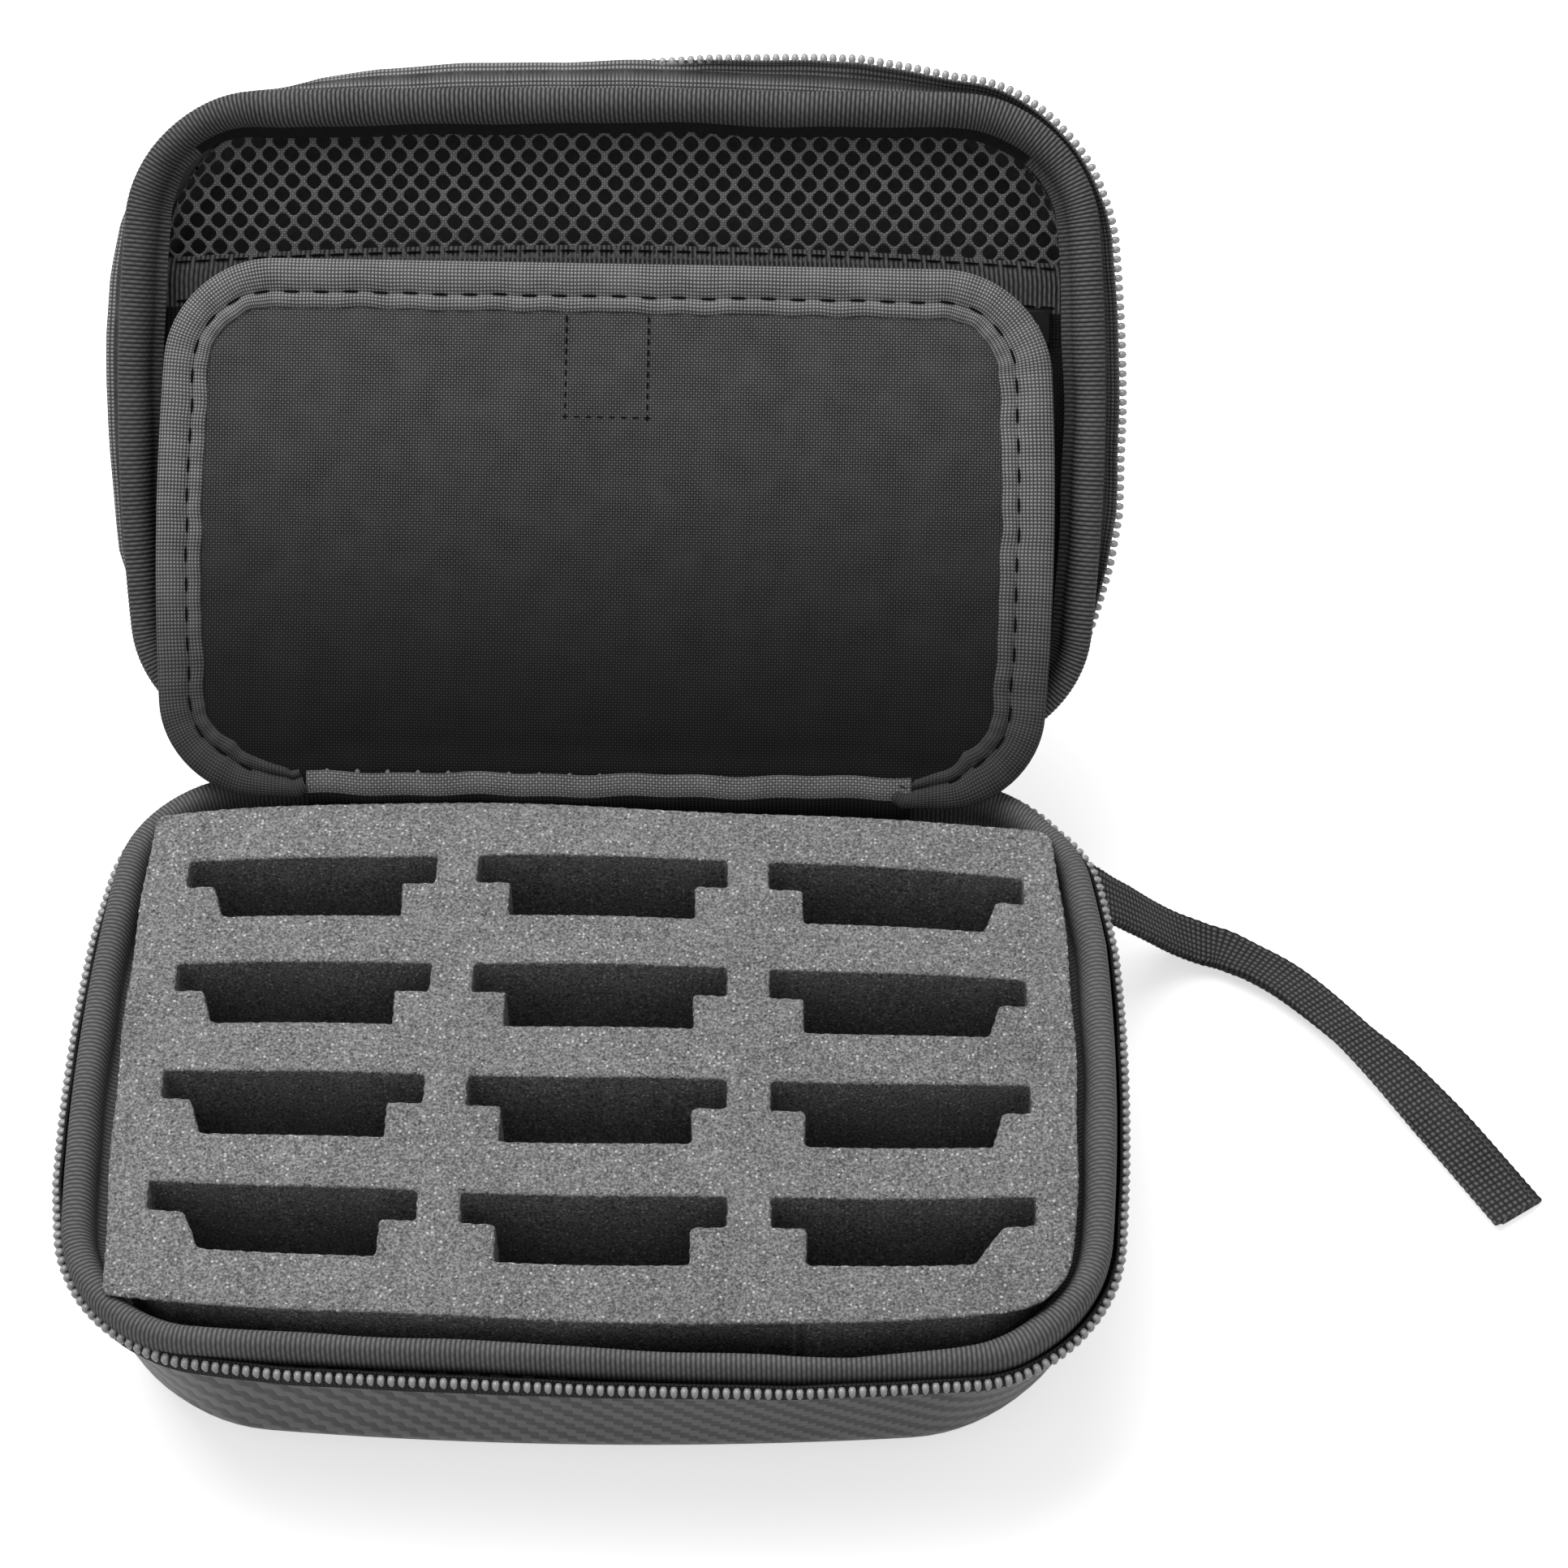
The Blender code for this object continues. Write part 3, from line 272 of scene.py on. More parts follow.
# Lid pocket
POCKET_DEPTH = 0.0150
PANEL = 0.0008
NET_REAR = -0.0357
BAND_REAR = -0.0255
TAPE_WIDTH = 0.0026
COIL_WIDTH = 0.0030
COIL_PITCH = 0.00095
POCKET_END = 0.0560          # the lower cloth is sewn in here, at the rear
POCKET_BOW = 0.0030          # the net's and the band's lines sag to the lid's front,
POCKET_SPAN = 0.0900         # over this half width
BAND_RIB = 0.00100
BAND_RELIEF = 0.00013
BAND_SEAM_IN = 0.0011
BAND_STITCH = (0.0033, 0.0005, 0.0005)
BAND_STITCH_STEP = 0.0040
NET_CELL = (0.00445, 0.00270)
NET_GAP = (0.00338, 0.00324)
NET_ROUND = 1.5              # 1 is a gap with straight sides, 2 an oval one
NET_TUCK = 0.0030            # the net runs on behind the band
NET_WELD = 0.00004           # points closer than this are one
NET_INSIDE = 0.9985          # the net keeps this share of the room in the lid
NET_SEAM_DEPTH = 0.0092      # where the net is sewn in under the rim's roll
NET_STRAND = 0.0007

# Metal
METAL_EDGE = 0.00018         # rounded edges of the sliders and pulls
BAIL_SHINE = 0.0010          # bright top of the pocket slider's loop

# Wrist strap: doubled webbing
STRAP_THICKNESS = 0.0026
STRAP_LAYER_WIDTH = 0.0103
STRAP_BEVEL = (0.0004, 0.0003)          # rounded edge of a layer: inwards and down
STRAP_GROOVE = (0.0005, 0.0004)         # groove between the layers: inwards, and half its height
STRAP_SCALLOP = (0.0001, 0.0018)        # woven edge: height and pitch
STRAP_SLIP = 0.0021          # the under layer shows beside the upper one towards the end,
STRAP_SLIPS = (0.42, 0.30)   # from this share of the length, over this share
STRAP_TURNS = (              # shares of the length, and the strap's turn about its own line there, radians
    (0.0, 0.22, 0.40, 0.60, 0.80, 1.0), (0.40, 0.15, -0.30, -0.30, 0.0, 0.0),
)
STRAP_ROUTE = (
    (0.0976, 0.0504, 0.0338), (0.1025, 0.0513, 0.0288), (0.1085, 0.0533, 0.0215), (0.1180, 0.0562, 0.0098),
    (0.1252, 0.0566, 0.0048), (0.1322, 0.0548, 0.0034), (0.1442, 0.0468, 0.0034), (0.1589, 0.0304, 0.0032),
    (0.1728, 0.0120, 0.0017), (0.1861, -0.0084, 0.0017),
)

# Camera
LENS = 85.482
CAMERA_PLACE = (0.0453734, -0.4055211, 0.6579933)
CAMERA_RIGHT = Vector((0.99987672, 0.01524007, -0.00377734))
CAMERA_UP = Vector((-0.00975645, 0.79155118, 0.61102499))

# Light
LAMP_PLACE = Vector((-0.20, 0.31, 0.80))
LAMP_AIM = Vector((0.0, 0.02, 0.0))
LAMP_WIDTH = 0.75
LAMP_POWER = 6.2
FLOOR_HALF = 4.0


def swung(axis, angle):
    """Turn from the closed place to the open one."""
    return Matrix.Translation(axis) @ Matrix.Rotation(-angle, 4, "X") @ Matrix.Translation(-axis)


ASKEW = (Matrix.Translation((FLAP_ASIDE, 0.0, 0.0)) @ Matrix.Translation(FLAP_AXIS)
         @ Matrix.Rotation(FLAP_TWIST, 4, "Z") @ Matrix.Translation(-FLAP_AXIS))
LID_SEAT = swung(HINGE, LID_OPEN)
SEAT = {
    "base": Matrix.Identity(4),
    "lid": LID_SEAT,
    "flap": swung(FLAP_AXIS, FLAP_OPEN) @ ASKEW,
}


# Shader building
def plug(tree, value, socket):
    """Feeds a socket from another socket, or sets its own value."""
    if isinstance(value, bpy.types.NodeSocket):
        tree.links.new(value, socket)
    else:
        socket.default_value = value


def calc(tree, operation, *values):
    node = tree.nodes.new("ShaderNodeMath")
    node.operation = operation
    for value, socket in zip(values, node.inputs):
        plug(tree, value, socket)
    return node.outputs[0]


def grey(level):
    """Linear colour of a display grey from 0 to 255."""
    share = level / 255
    linear = share / 12.92 if share <= 0.04045 else ((share + 0.055) / 1.055) ** 2.4
    return (linear, linear, linear * 1.015, 1.0)


def between_greys(tree, share, low, high):
    node = tree.nodes.new("ShaderNodeMix")
    node.data_type = "RGBA"
    plug(tree, share, node.inputs["Factor"])
    plug(tree, low, node.inputs["A"])
    plug(tree, high, node.inputs["B"])
    return node.outputs["Result"]


def noise(tree, coordinates, scale, detail=3.0, roughness=0.6):
    node = tree.nodes.new("ShaderNodeTexNoise")
    plug(tree, coordinates, node.inputs["Vector"])
    node.inputs["Scale"].default_value = scale
    node.inputs["Detail"].default_value = detail
    node.inputs["Roughness"].default_value = roughness
    return node.outputs["Fac"]


def ramp(tree, value, low, high, out_low=0.0, out_high=1.0):
    """Soft step from one result to another as a value goes from low to high."""
    node = tree.nodes.new("ShaderNodeMapRange")
    node.interpolation_type = "SMOOTHSTEP"
    for number, given in enumerate((value, low, high, out_low, out_high)):
        plug(tree, given, node.inputs[number])
    return node.outputs["Result"]


def start_finish(name, roughness, metallic=0.0, specular=0.5):
    """New material; returns it with its tree and its Principled shader."""
    made = bpy.data.materials.new(name)
    made.use_nodes = True
    tree = made.node_tree
    shader = tree.nodes["Principled BSDF"]
    shader.inputs["Roughness"].default_value = roughness
    shader.inputs["Metallic"].default_value = metallic
    shader.inputs["Specular IOR Level"].default_value = specular
    return made, tree, shader


def end_finish(tree, shader, colour, height, depth):
    """Colour and relief; depth is how far the height's full range stands out, in metres."""
    plug(tree, colour, shader.inputs["Base Color"])
    bump = tree.nodes.new("ShaderNodeBump")
    bump.inputs["Distance"].default_value = depth
    bump.inputs["Strength"].default_value = 1.0
    plug(tree, height, bump.inputs["Height"])
    tree.links.new(bump.outputs["Normal"], shader.inputs["Normal"])


def object_places(tree):
    return tree.nodes.new("ShaderNodeTexCoord").outputs["Object"]


def cloth_map(tree):
    """The piece's own cloth coordinates."""
    uv = tree.nodes.new("ShaderNodeUVMap")
    uv.uv_map = "cloth"
    return uv.outputs["UV"]


def axes(tree, vector):
    split = tree.nodes.new("ShaderNodeSeparateXYZ")
    tree.links.new(vector, split.inputs[0])
    return split.outputs


def thread_cells(tree, cloth, pitch, crowded):
    """Number of each thread and the place across it, both ways; crowded follows the shell's lean."""
    across, along = axes(tree, cloth)[:2]
    threads = [calc(tree, "DIVIDE", across, pitch), calc(tree, "DIVIDE", along, pitch)]
    if crowded:
        eased = ramp(tree, along, *TWILL_EASE, 0.0, TWILL_LEAN[3] - TWILL_LEAN[2])
        lean = calc(tree, "SUBTRACT", ramp(tree, along, *TWILL_LEAN), eased)
        threads[0] = calc(tree, "MULTIPLY", threads[0], lean)
    return [(calc(tree, "FLOOR", thread), calc(tree, "FRACT", thread)) for thread in threads]


def arch(tree, place):
    """Round back of a thread across its width."""
    return calc(tree, "SINE", calc(tree, "MULTIPLY", place, math.pi))


def woven(name, style, pitch, dark, light, roughness, depth, specular=0.12, painted_shade_below=None):
    """Cloth whose threads cross as twill, in squares, in an even grid or as ribs of short stitches.

    The last argument gives two heights and the share of the colour that is left at the lower one: painted
    shade that darkens the cloth towards its lower end.
    """
    made, tree, shader = start_finish(name, roughness, specular=specular)
    cloth = cloth_map(tree)
    (warp, warp_place), (weft, weft_place) = thread_cells(tree, cloth, pitch, style == "twill")
    crossing = calc(tree, "ADD", warp, weft)
    both = calc(tree, "MULTIPLY", arch(tree, warp_place), arch(tree, weft_place))
    if style == "twill":
        share = calc(tree, "LESS_THAN", calc(tree, "FLOORED_MODULO", crossing, 4.0), 1.5)
        back = calc(tree, "MULTIPLY", arch(tree, weft_place), 0.4)
        height = calc(tree, "MULTIPLY_ADD", share, 0.6, back)
    elif style == "ribs":
        along = calc(tree, "DIVIDE", calc(tree, "ADD", weft, weft_place), RIB_STITCH)
        along = calc(tree, "MULTIPLY_ADD", warp, RIB_STAGGER, along)
        stitch = calc(tree, "MULTIPLY_ADD", arch(tree, calc(tree, "FRACT", along)), 0.35, 0.65)
        height = calc(tree, "MULTIPLY", calc(tree, "POWER", arch(tree, warp_place), 2.0), stitch)
        share = height
    elif style == "grid":
        height = calc(tree, "POWER", both, 1.5)
        share = height
    else:
        over = calc(tree, "FLOORED_MODULO", crossing, 2.0)
        height = calc(tree, "MULTIPLY", both, calc(tree, "MULTIPLY_ADD", over, 0.5, 0.5))
        share = height
    cloudy = noise(tree, cloth, 1 / (pitch * CLOUD_THREADS))
    fibre = noise(tree, cloth, THREAD_FIBRES / pitch, 2.0, 0.7)
    mottle = calc(tree, "MULTIPLY_ADD", cloudy, 0.25, calc(tree, "MULTIPLY", fibre, 0.30))
    mix = calc(tree, "MULTIPLY_ADD", share, 0.80, calc(tree, "SUBTRACT", mottle, 0.20))
    # painted shade: the colour darkens from the upper height down to the lower one
    if painted_shade_below:
        height_above = axes(tree, object_places(tree))[2]
        mix = calc(tree, "MULTIPLY", mix, ramp(tree, height_above, *painted_shade_below, 1.0))
    colour = between_greys(tree, mix, grey(dark), grey(light))
    end_finish(tree, shader, colour, calc(tree, "MULTIPLY_ADD", fibre, 0.35, height), depth)
    return made


def cut_foam(name, base, swing, specks):
    """Open-cell foam: coarse grey grain, with painted glints on some cells and painted shade in the pits of
    others.
    """
    made, tree, shader = start_finish(name, 0.95, specular=0.15)
    where = object_places(tree)
    grain = ramp(tree, noise(tree, where, FOAM_GRAIN, 3.0, 0.7), 0.30, 0.70)
    cloudy = noise(tree, where, FOAM_CLOUDS, 2.0)
    cells = tree.nodes.new("ShaderNodeTexVoronoi")
    tree.links.new(where, cells.inputs["Vector"])
    cells.inputs["Scale"].default_value = FOAM_CELLS
    chance = tree.nodes.new("ShaderNodeSeparateColor")
    tree.links.new(cells.outputs["Color"], chance.inputs[0])
    core = ramp(tree, cells.outputs["Distance"], 0.42, 0.18)
    bright = calc(tree, "MULTIPLY", core, calc(tree, "GREATER_THAN", chance.outputs[0], 1 - specks))
    dull = calc(tree, "MULTIPLY", core, calc(tree, "LESS_THAN", chance.outputs[0], specks * 1.6))
    level = calc(tree, "MULTIPLY_ADD", grain, 0.75, calc(tree, "MULTIPLY", cloudy, 0.25))
    # bright cells are painted glints; dark cells are pits, and their darkening is painted shade
    glint = grey(min(base * 1.6 + 35, 235))
    pit_and_shade = calc(tree, "MULTIPLY", dull, 0.6)
    colour = between_greys(tree, level, grey(base - swing), grey(base + swing))
    colour = between_greys(tree, calc(tree, "MULTIPLY", bright, 0.9), colour, glint)
    colour = between_greys(tree, pit_and_shade, colour, grey(base * 0.50))
    end_finish(tree, shader, colour, calc(tree, "SUBTRACT", grain, pit_and_shade), FOAM_PITS)
    return made


def fuzzy(name, dark, light, scale, depth=0.0004):
    """Matt napped cloth, thread or lining."""
    made, tree, shader = start_finish(name, 0.95, specular=0.12)
    nap = noise(tree, object_places(tree), scale, 4.0, 0.7)
    end_finish(tree, shader, between_greys(tree, nap, grey(dark), grey(light)), nap, depth)
    return made


def moulded(name, dark, light, roughness, metallic=0.0):
    """Plastic or plated metal with faint handling marks."""
    made, tree, shader = start_finish(name, roughness, metallic)
    marks = noise(tree, object_places(tree), 700.0, 3.0)
    worn = ramp(tree, marks, 0.3, 0.7, roughness * 0.8, roughness * 1.3)
    plug(tree, worn, shader.inputs["Roughness"])
    end_finish(tree, shader, between_greys(tree, marks, grey(dark), grey(light)), marks, 0.00004)
    return made


def toothed(name, foot, crown, roughness):
    """Moulded zip tooth, with painted shade at its foot and a painted highlight at its crown."""
    made, tree, shader = start_finish(name, roughness, 0.1, 0.4)
    # painted shade at the foot, turning to a painted highlight at the crown
    share = ramp(tree, axes(tree, cloth_map(tree))[0], *TOOTH_SHADE)
    end_finish(tree, shader, between_greys(tree, share, grey(foot), grey(crown)), share, 0.00002)
    return made


FINISH = {
    "shell": woven("shell_twill", "twill", 0.00208, 30, 92, 0.46, 0.00010, specular=0.25),
    "lining": fuzzy("lining_cloth", 56, 92, 900.0),
    "base_binding": woven("base_binding_ribs", "ribs", BINDING_RIB, 64, 130, 0.80, 0.00006),
    "lid_binding": woven("lid_binding_ribs", "ribs", BINDING_RIB, 28, 122, 0.80, 0.00010),
    # darker cloth for the roll's flank, as painted shade
    "painted_shade_skirt": fuzzy("binding_flank", 24, 42, 1200.0),
    # one zip tape in two copies: a dark one with painted shade for the base, a pale one with painted light
    # for the lid
    "base_tape": woven("base_zip_tape", "grid", 0.00080, 20, 66, 0.85, 0.00012),
    "lid_tape": woven("lid_zip_tape", "grid", 0.00080, 48, 185, 0.85, 0.00012),
    "teeth": toothed("zip_teeth_moulded", 34, 176, 0.22),
    # the foam's own grey on its top, and a darker copy of the same foam as painted shade for its walls and
    # floor pad
    "foam": cut_foam("foam_top_skin", 126, 66, 0.17),
    "foam_painted_shade": cut_foam("foam_cut_wall", 102, 64, 0.22),
    # the flap's panel and binding get painted shade that darkens them towards their lower end
    "panel": woven("flap_panel_weave", "squares", 0.00055, 14, 132, 0.95, 0.00010,
                   painted_shade_below=(0.056, 0.118, 0.13)),
    "flap_binding": woven("flap_binding_weave", "grid", 0.00074, 42, 192, 0.80, 0.00016,
                          painted_shade_below=(0.054, 0.100, 0.20)),
    "hem": woven("flap_hem_weave", "squares", 0.00060, 44, 190, 0.85, 0.00012),
    "net": woven("net_strands", "squares", 0.00050, 78, 165, 0.70, 0.00010),
    "band": woven("pocket_band_ribs", "ribs", BAND_RIB, 26, 128, 0.80, 0.00014),
    "cloth": woven("pocket_cloth", "squares", 0.00060, 28, 70, 0.90, 0.00008),
    "webbing": woven("strap_webbing", "grid", 0.00130, 26, 128, 0.80, 0.00030),
    "patch": fuzzy("hook_and_loop_nap", 22, 46, 2600.0, 0.0006),
    "thread": fuzzy("dark_thread", 14, 26, 5000.0),
    "pale_thread": fuzzy("pale_thread", 105, 150, 5000.0),
    "metal": moulded("plated_metal", 150, 185, 0.25, 1.0),
    "dark_metal": moulded("black_plated_metal", 26, 38, 0.40, 0.6),
}


# Mesh building
def tidy_mesh(mesh, sharp=38.0):
    """Outward faces, smooth shading and crisp edges."""
    work = bmesh.new()
    work.from_mesh(mesh)
    bmesh.ops.recalc_face_normals(work, faces=work.faces)
    work.to_mesh(mesh)
    work.free()
    mesh.shade_smooth()
    mesh.set_sharp_from_angle(angle=math.radians(sharp))
    return mesh


def at_height(points, z):
    return np.column_stack([points, np.full(len(points), z)])


def skin(name, points, row_at, column_at, finish, sharp=38.0, ring=False):
    """Closed skin over rows of points, each row a loop, with cloth coordinates.

    A ring's last row meets its first; otherwise both end rows are capped.
    """
    rows, columns = points.shape[:2]
    row, column = (index.ravel() for index in np.indices((rows if ring else rows - 1, columns)))
    here, beyond = row * columns, (row + 1) % rows * columns
    after = (column + 1) % columns
    faces = np.stack([here + column, here + after, beyond + after, beyond + column], 1).tolist()
    u, v = np.asarray(row_at), np.asarray(column_at)
    corners = np.stack([u[row], v[column], u[row], v[column + 1],
                        u[row + 1], v[column + 1], u[row + 1], v[column]], 1).reshape(-1, 2)
    if not ring:
        for end in (0, rows - 1):
            faces.append(list(range(end * columns, (end + 1) * columns)))
            corners = np.vstack([corners, points[end, :, :2]])
    mesh = bpy.data.meshes.new(name)
    mesh.from_pydata(points.reshape(-1, 3).tolist(), [], faces)
    mesh.uv_layers.new(name="cloth").data.foreach_set("uv", corners.ravel())
    mesh.materials.append(finish)
    return tidy_mesh(mesh, sharp)


def lengths(points):
    """Distance along a line of points, from its first."""
    return np.concatenate([[0.0], np.cumsum(np.linalg.norm(np.diff(points, axis=0), axis=1))])


def closed_lengths(points):
    """The same round a closed line, back to its first point."""
    return lengths(np.vstack([points, points[:1]]))


def linked(name, mesh):
    made = bpy.data.objects.new(name, mesh)
    bpy.context.scene.collection.objects.link(made)
    return made


def piece(mesh, body, slot, *nodes):
    """Object from a mesh drawn closed: it takes its body's place, rides on it and stands for its solids."""
    if body == "lid":
        place = np.empty(len(mesh.vertices) * 3)
        mesh.vertices.foreach_get("co", place)
        place[::3] -= LID_DRAW * np.clip(place[::3] / HALF_WIDTH, 0.0, None) ** 2
        mesh.vertices.foreach_set("co", place)
    mesh.transform(SEAT[body])
    made = linked(mesh.name, mesh)
    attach(made, body)
    if nodes:
        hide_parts(*nodes)
    return made


def quarter(centre, radius, start):
    """Quarter of a circle from a start angle in degrees."""
    angle = np.radians(start + 90.0 * np.arange(CORNER_STEPS) / (CORNER_STEPS - 1))
    return np.stack([centre[0] + radius * np.cos(angle), centre[1] + radius * np.sin(angle)], 1)


def run(first, last, steps):
    """Even places between two points, without the points."""
    share = (np.arange(1, steps) / steps)[:, None]
    return np.asarray(first) * (1 - share) + np.asarray(last) * share


def rounded(half_w, half_d, radius, rear_radius, side_bow, front_bow):
    """Closed plan outline from the middle of the rear, round by the left side and the front."""
    front = max(min(radius, half_w, half_d), LEAST_RADIUS)
    rear = max(min(rear_radius, half_w, half_d), LEAST_RADIUS)
    corners = [
        quarter((rear - half_w, half_d - rear), rear, 90.0),
        quarter((front - half_w, front - half_d), front, 180.0),
        quarter((half_w - front, front - half_d), front, 270.0),
        quarter((half_w - rear, half_d - rear), rear, 0.0),
    ]
    middle = (0.0, half_d)
    parts = [np.array([middle]), run(middle, corners[0][0], 24)]
    for corner, following, steps in zip(corners, corners[1:] + [None], (24, 48, 24, 0)):
        parts.append(corner)
        if steps:
            parts.append(run(corner[-1], following[0], steps))
    parts.append(run(corners[3][-1], middle, 24))
    points = np.vstack(parts)
    across = points[:, 0] / half_w
    along = points[:, 1] / half_d
    points[:, 1] += np.where(points[:, 1] < 0, front_bow * along * (1 - across ** 2), 0.0)
    points[:, 0] += side_bow * across * (1 - along ** 2)
    return points


def rim(out, gain=0.0):
    """Rim outline of the case, moved outwards."""
    radius = CORNER_RADIUS + out + gain
    return rounded(HALF_WIDTH + out, HALF_DEPTH + out, radius, radius, SIDE_BOW, FRONT_BOW)


def walk(outline, count, start=0.0, whole=False):
    """Even places along a closed outline: the points, their outward directions and their distances."""
    line = np.vstack([outline, outline[:1]])
    at = lengths(line)
    where = np.linspace(start, at[-1] - start, count, endpoint=not whole)
    step = np.roll(outline, -1, axis=0) - np.roll(outline, 1, axis=0)
    step = np.vstack([step, step[:1]])
    points = np.stack([np.interp(where, at, line[:, axis]) for axis in (0, 1)], 1)
    heading = np.stack([np.interp(where, at, step[:, axis]) for axis in (0, 1)], 1)
    heading /= np.linalg.norm(heading, axis=1)[:, None]
    return points, np.stack([heading[:, 1], -heading[:, 0]], 1), where


def swept(points, outward, out, depth, side):
    """Section points (out, depth) carried along a plan line; side is -1 for the base and +1 for the lid."""
    out = np.broadcast_to(out, (len(points), np.shape(out)[-1]))
    depth = np.broadcast_to(depth, out.shape)
    plan = points[:, None, :] + outward[:, None, :] * out[:, :, None]
    return np.concatenate([plan, (RIM_Z + side * depth)[:, :, None]], 2)


def wander(at, size, *turns):
    """Slow unevenness of sewn cloth along its length."""
    total = at[-1] + (at[1] - at[0])
    return size * sum(np.sin(2 * np.pi * turn * at / total + turn) for turn in turns) / len(turns)


# Repeats along a line
def repeat_tree():
    """Copies of one small shape at even steps along a line, each turned to follow it."""
    tree = bpy.data.node_groups.new("repeat_along_line", "GeometryNodeTree")
    sockets = {"Line": "Geometry", "Step": "Float", "Shape": "Object", "Finish": "Material"}
    for label, kind in sockets.items():
        tree.interface.new_socket(label, in_out="INPUT", socket_type="NodeSocket" + kind)
    tree.interface.new_socket("Repeats", in_out="OUTPUT", socket_type="NodeSocketGeometry")
    nodes = tree.nodes
    given = nodes.new("NodeGroupInput")
    curve = nodes.new("GeometryNodeMeshToCurve")
    spaced = nodes.new("GeometryNodeResampleCurve")
    spaced.mode = "LENGTH"
    shape = nodes.new("GeometryNodeObjectInfo")
    heading = nodes.new("GeometryNodeInputTangent")
    turn = nodes.new("FunctionNodeAlignRotationToVector")
    turn.axis = "X"
    turn.pivot_axis = "Z"
    copies = nodes.new("GeometryNodeInstanceOnPoints")
    real = nodes.new("GeometryNodeRealizeInstances")
    dress = nodes.new("GeometryNodeSetMaterial")
    result = nodes.new("NodeGroupOutput")
    join = tree.links.new
    join(given.outputs["Line"], curve.inputs["Mesh"])
    join(curve.outputs["Curve"], spaced.inputs["Curve"])
    join(given.outputs["Step"], spaced.inputs["Length"])
    join(given.outputs["Shape"], shape.inputs["Object"])
    join(heading.outputs["Tangent"], turn.inputs["Vector"])
    join(spaced.outputs["Curve"], copies.inputs["Points"])
    join(shape.outputs["Geometry"], copies.inputs["Instance"])
    join(turn.outputs["Rotation"], copies.inputs["Rotation"])
    join(copies.outputs["Instances"], real.inputs["Geometry"])
    join(real.outputs["Geometry"], dress.inputs["Geometry"])
    join(given.outputs["Finish"], dress.inputs["Material"])
    join(dress.outputs["Geometry"], result.inputs["Repeats"])
    return tree


REPEAT = repeat_tree()
PEBBLE_FACES = (8, 6)        # round a stitch or a tooth, and along it


def evaluated(holder, name):
    """Plain mesh of an object with its modifiers applied; the object and its own mesh go."""
    bpy.context.view_layer.update()
    graph = bpy.context.evaluated_depsgraph_get()
    made = bpy.data.meshes.new_from_object(holder.evaluated_get(graph))
    source = holder.data
    holder.modifiers.clear()
    bpy.data.objects.remove(holder)
    bpy.data.meshes.remove(source)
    made.name = name
    return made


def repeated(name, line, step, shape, finish):
    """Mesh of the copies of a shape along an open line of points."""
    path = bpy.data.meshes.new(name + "_line")
    path.from_pydata(np.asarray(line).tolist(), [(i, i + 1) for i in range(len(line) - 1)], [])
    guide = linked(name + "_line", path)
    part = linked(name + "_shape", shape)
    change = guide.modifiers.new("repeat", "NODES")
    change.node_group = REPEAT
    values = {"Step": step, "Shape": part, "Finish": finish}
    for item in REPEAT.interface.items_tree:
        if item.in_out == "INPUT" and item.name in values:
            change[item.identifier] = values[item.name]
    mesh = evaluated(guide, name)
    bpy.data.objects.remove(part)
    mesh.shade_smooth()
    return mesh


def pebble(name, size, square, taper=0.0):
    """Small closed rounded shape: square sharpens its corners, and taper narrows its lower end."""
    turns, rings = PEBBLE_FACES
    latitude = np.pi * (np.arange(1, rings) / rings) - np.pi / 2
    longitude = 2 * np.pi * np.arange(turns) / turns
    power = 2.0 / square

    def bend(value):
        return np.sign(value) * np.abs(value) ** power

    z = np.repeat(bend(np.sin(latitude))[:, None], turns, 1)
    width = bend(np.cos(latitude))[:, None] * (1 + taper * z)
    x = width * bend(np.cos(longitude))[None, :]
    y = width * bend(np.sin(longitude))[None, :]
    points = np.stack([x * size[0] / 2, y * size[1] / 2, z * size[2] / 2], 2)
    mesh = skin(name, points, np.arange(rings), np.arange(turns + 1), FINISH["thread"], 80.0)
    for corner in mesh.uv_layers["cloth"].data[-turns:]:
        corner.uv = (rings, 0.0)
    return mesh


def stitches(name, line, step, size, finish="thread"):
    """Stitches of one size along a seam."""
    return repeated(name, line, step, pebble("stitch", size, square=2.4), FINISH[finish])


def joined(name, meshes):
    """One mesh from several, with their finishes."""
    work = bmesh.new()
    finishes = []
    for mesh in meshes:
        first = len(work.faces)
        shift = []
        for finish in mesh.materials:
            if finish not in finishes:
                finishes.append(finish)
            shift.append(finishes.index(finish))
        work.from_mesh(mesh)
        work.faces.ensure_lookup_table()
        for face in work.faces[first:]:
            face.material_index = shift[face.material_index]
    made = bpy.data.meshes.new(name)
    work.to_mesh(made)
    work.free()
    for finish in finishes:
        made.materials.append(finish)
    return made


# Shells and linings
def wall_profile(set_in, floor, radius, top):
    """Wall of a half from its top edge to its floor, as (out, depth, corner gain)."""
    rows = [(-set_in, top, set_in)]
    side = set_in + WALL_DRAFT
    for share in np.linspace(0.15, 0.85, 6):
        rows.append((-(set_in + WALL_DRAFT * share), top + (floor - radius - top) * share,
                     set_in + (WALL_DRAFT + CORNER_GAIN) * share))
    for angle in np.linspace(0.0, math.pi / 2, 10):
        out = side + radius * (1 - math.cos(angle))
        rows.append((-out, floor - radius * (1 - math.sin(angle)), out + CORNER_GAIN))
    return rows


def tub(name, set_in, wall, height, side, finish):
    """Open tray of one half, with its wall's thickness."""
    outer = wall_profile(set_in, height, BOTTOM_RADIUS - set_in + SHELL_SET_IN, SHELL_TOP)
    inner_in = set_in + wall
    inner = wall_profile(inner_in, height - wall, BOTTOM_RADIUS - inner_in + SHELL_SET_IN, SHELL_TOP)
    rows = outer[::-1] + inner
    points = np.array([at_height(rim(out, gain), RIM_Z + side * depth) for out, depth, gain in rows])
    profile = lengths(np.array([(out, depth) for out, depth, _ in rows]))
    around = closed_lengths(rim(0.0))
    return skin(name, points, np.append(profile, profile[-1]), around, finish, 50.0)


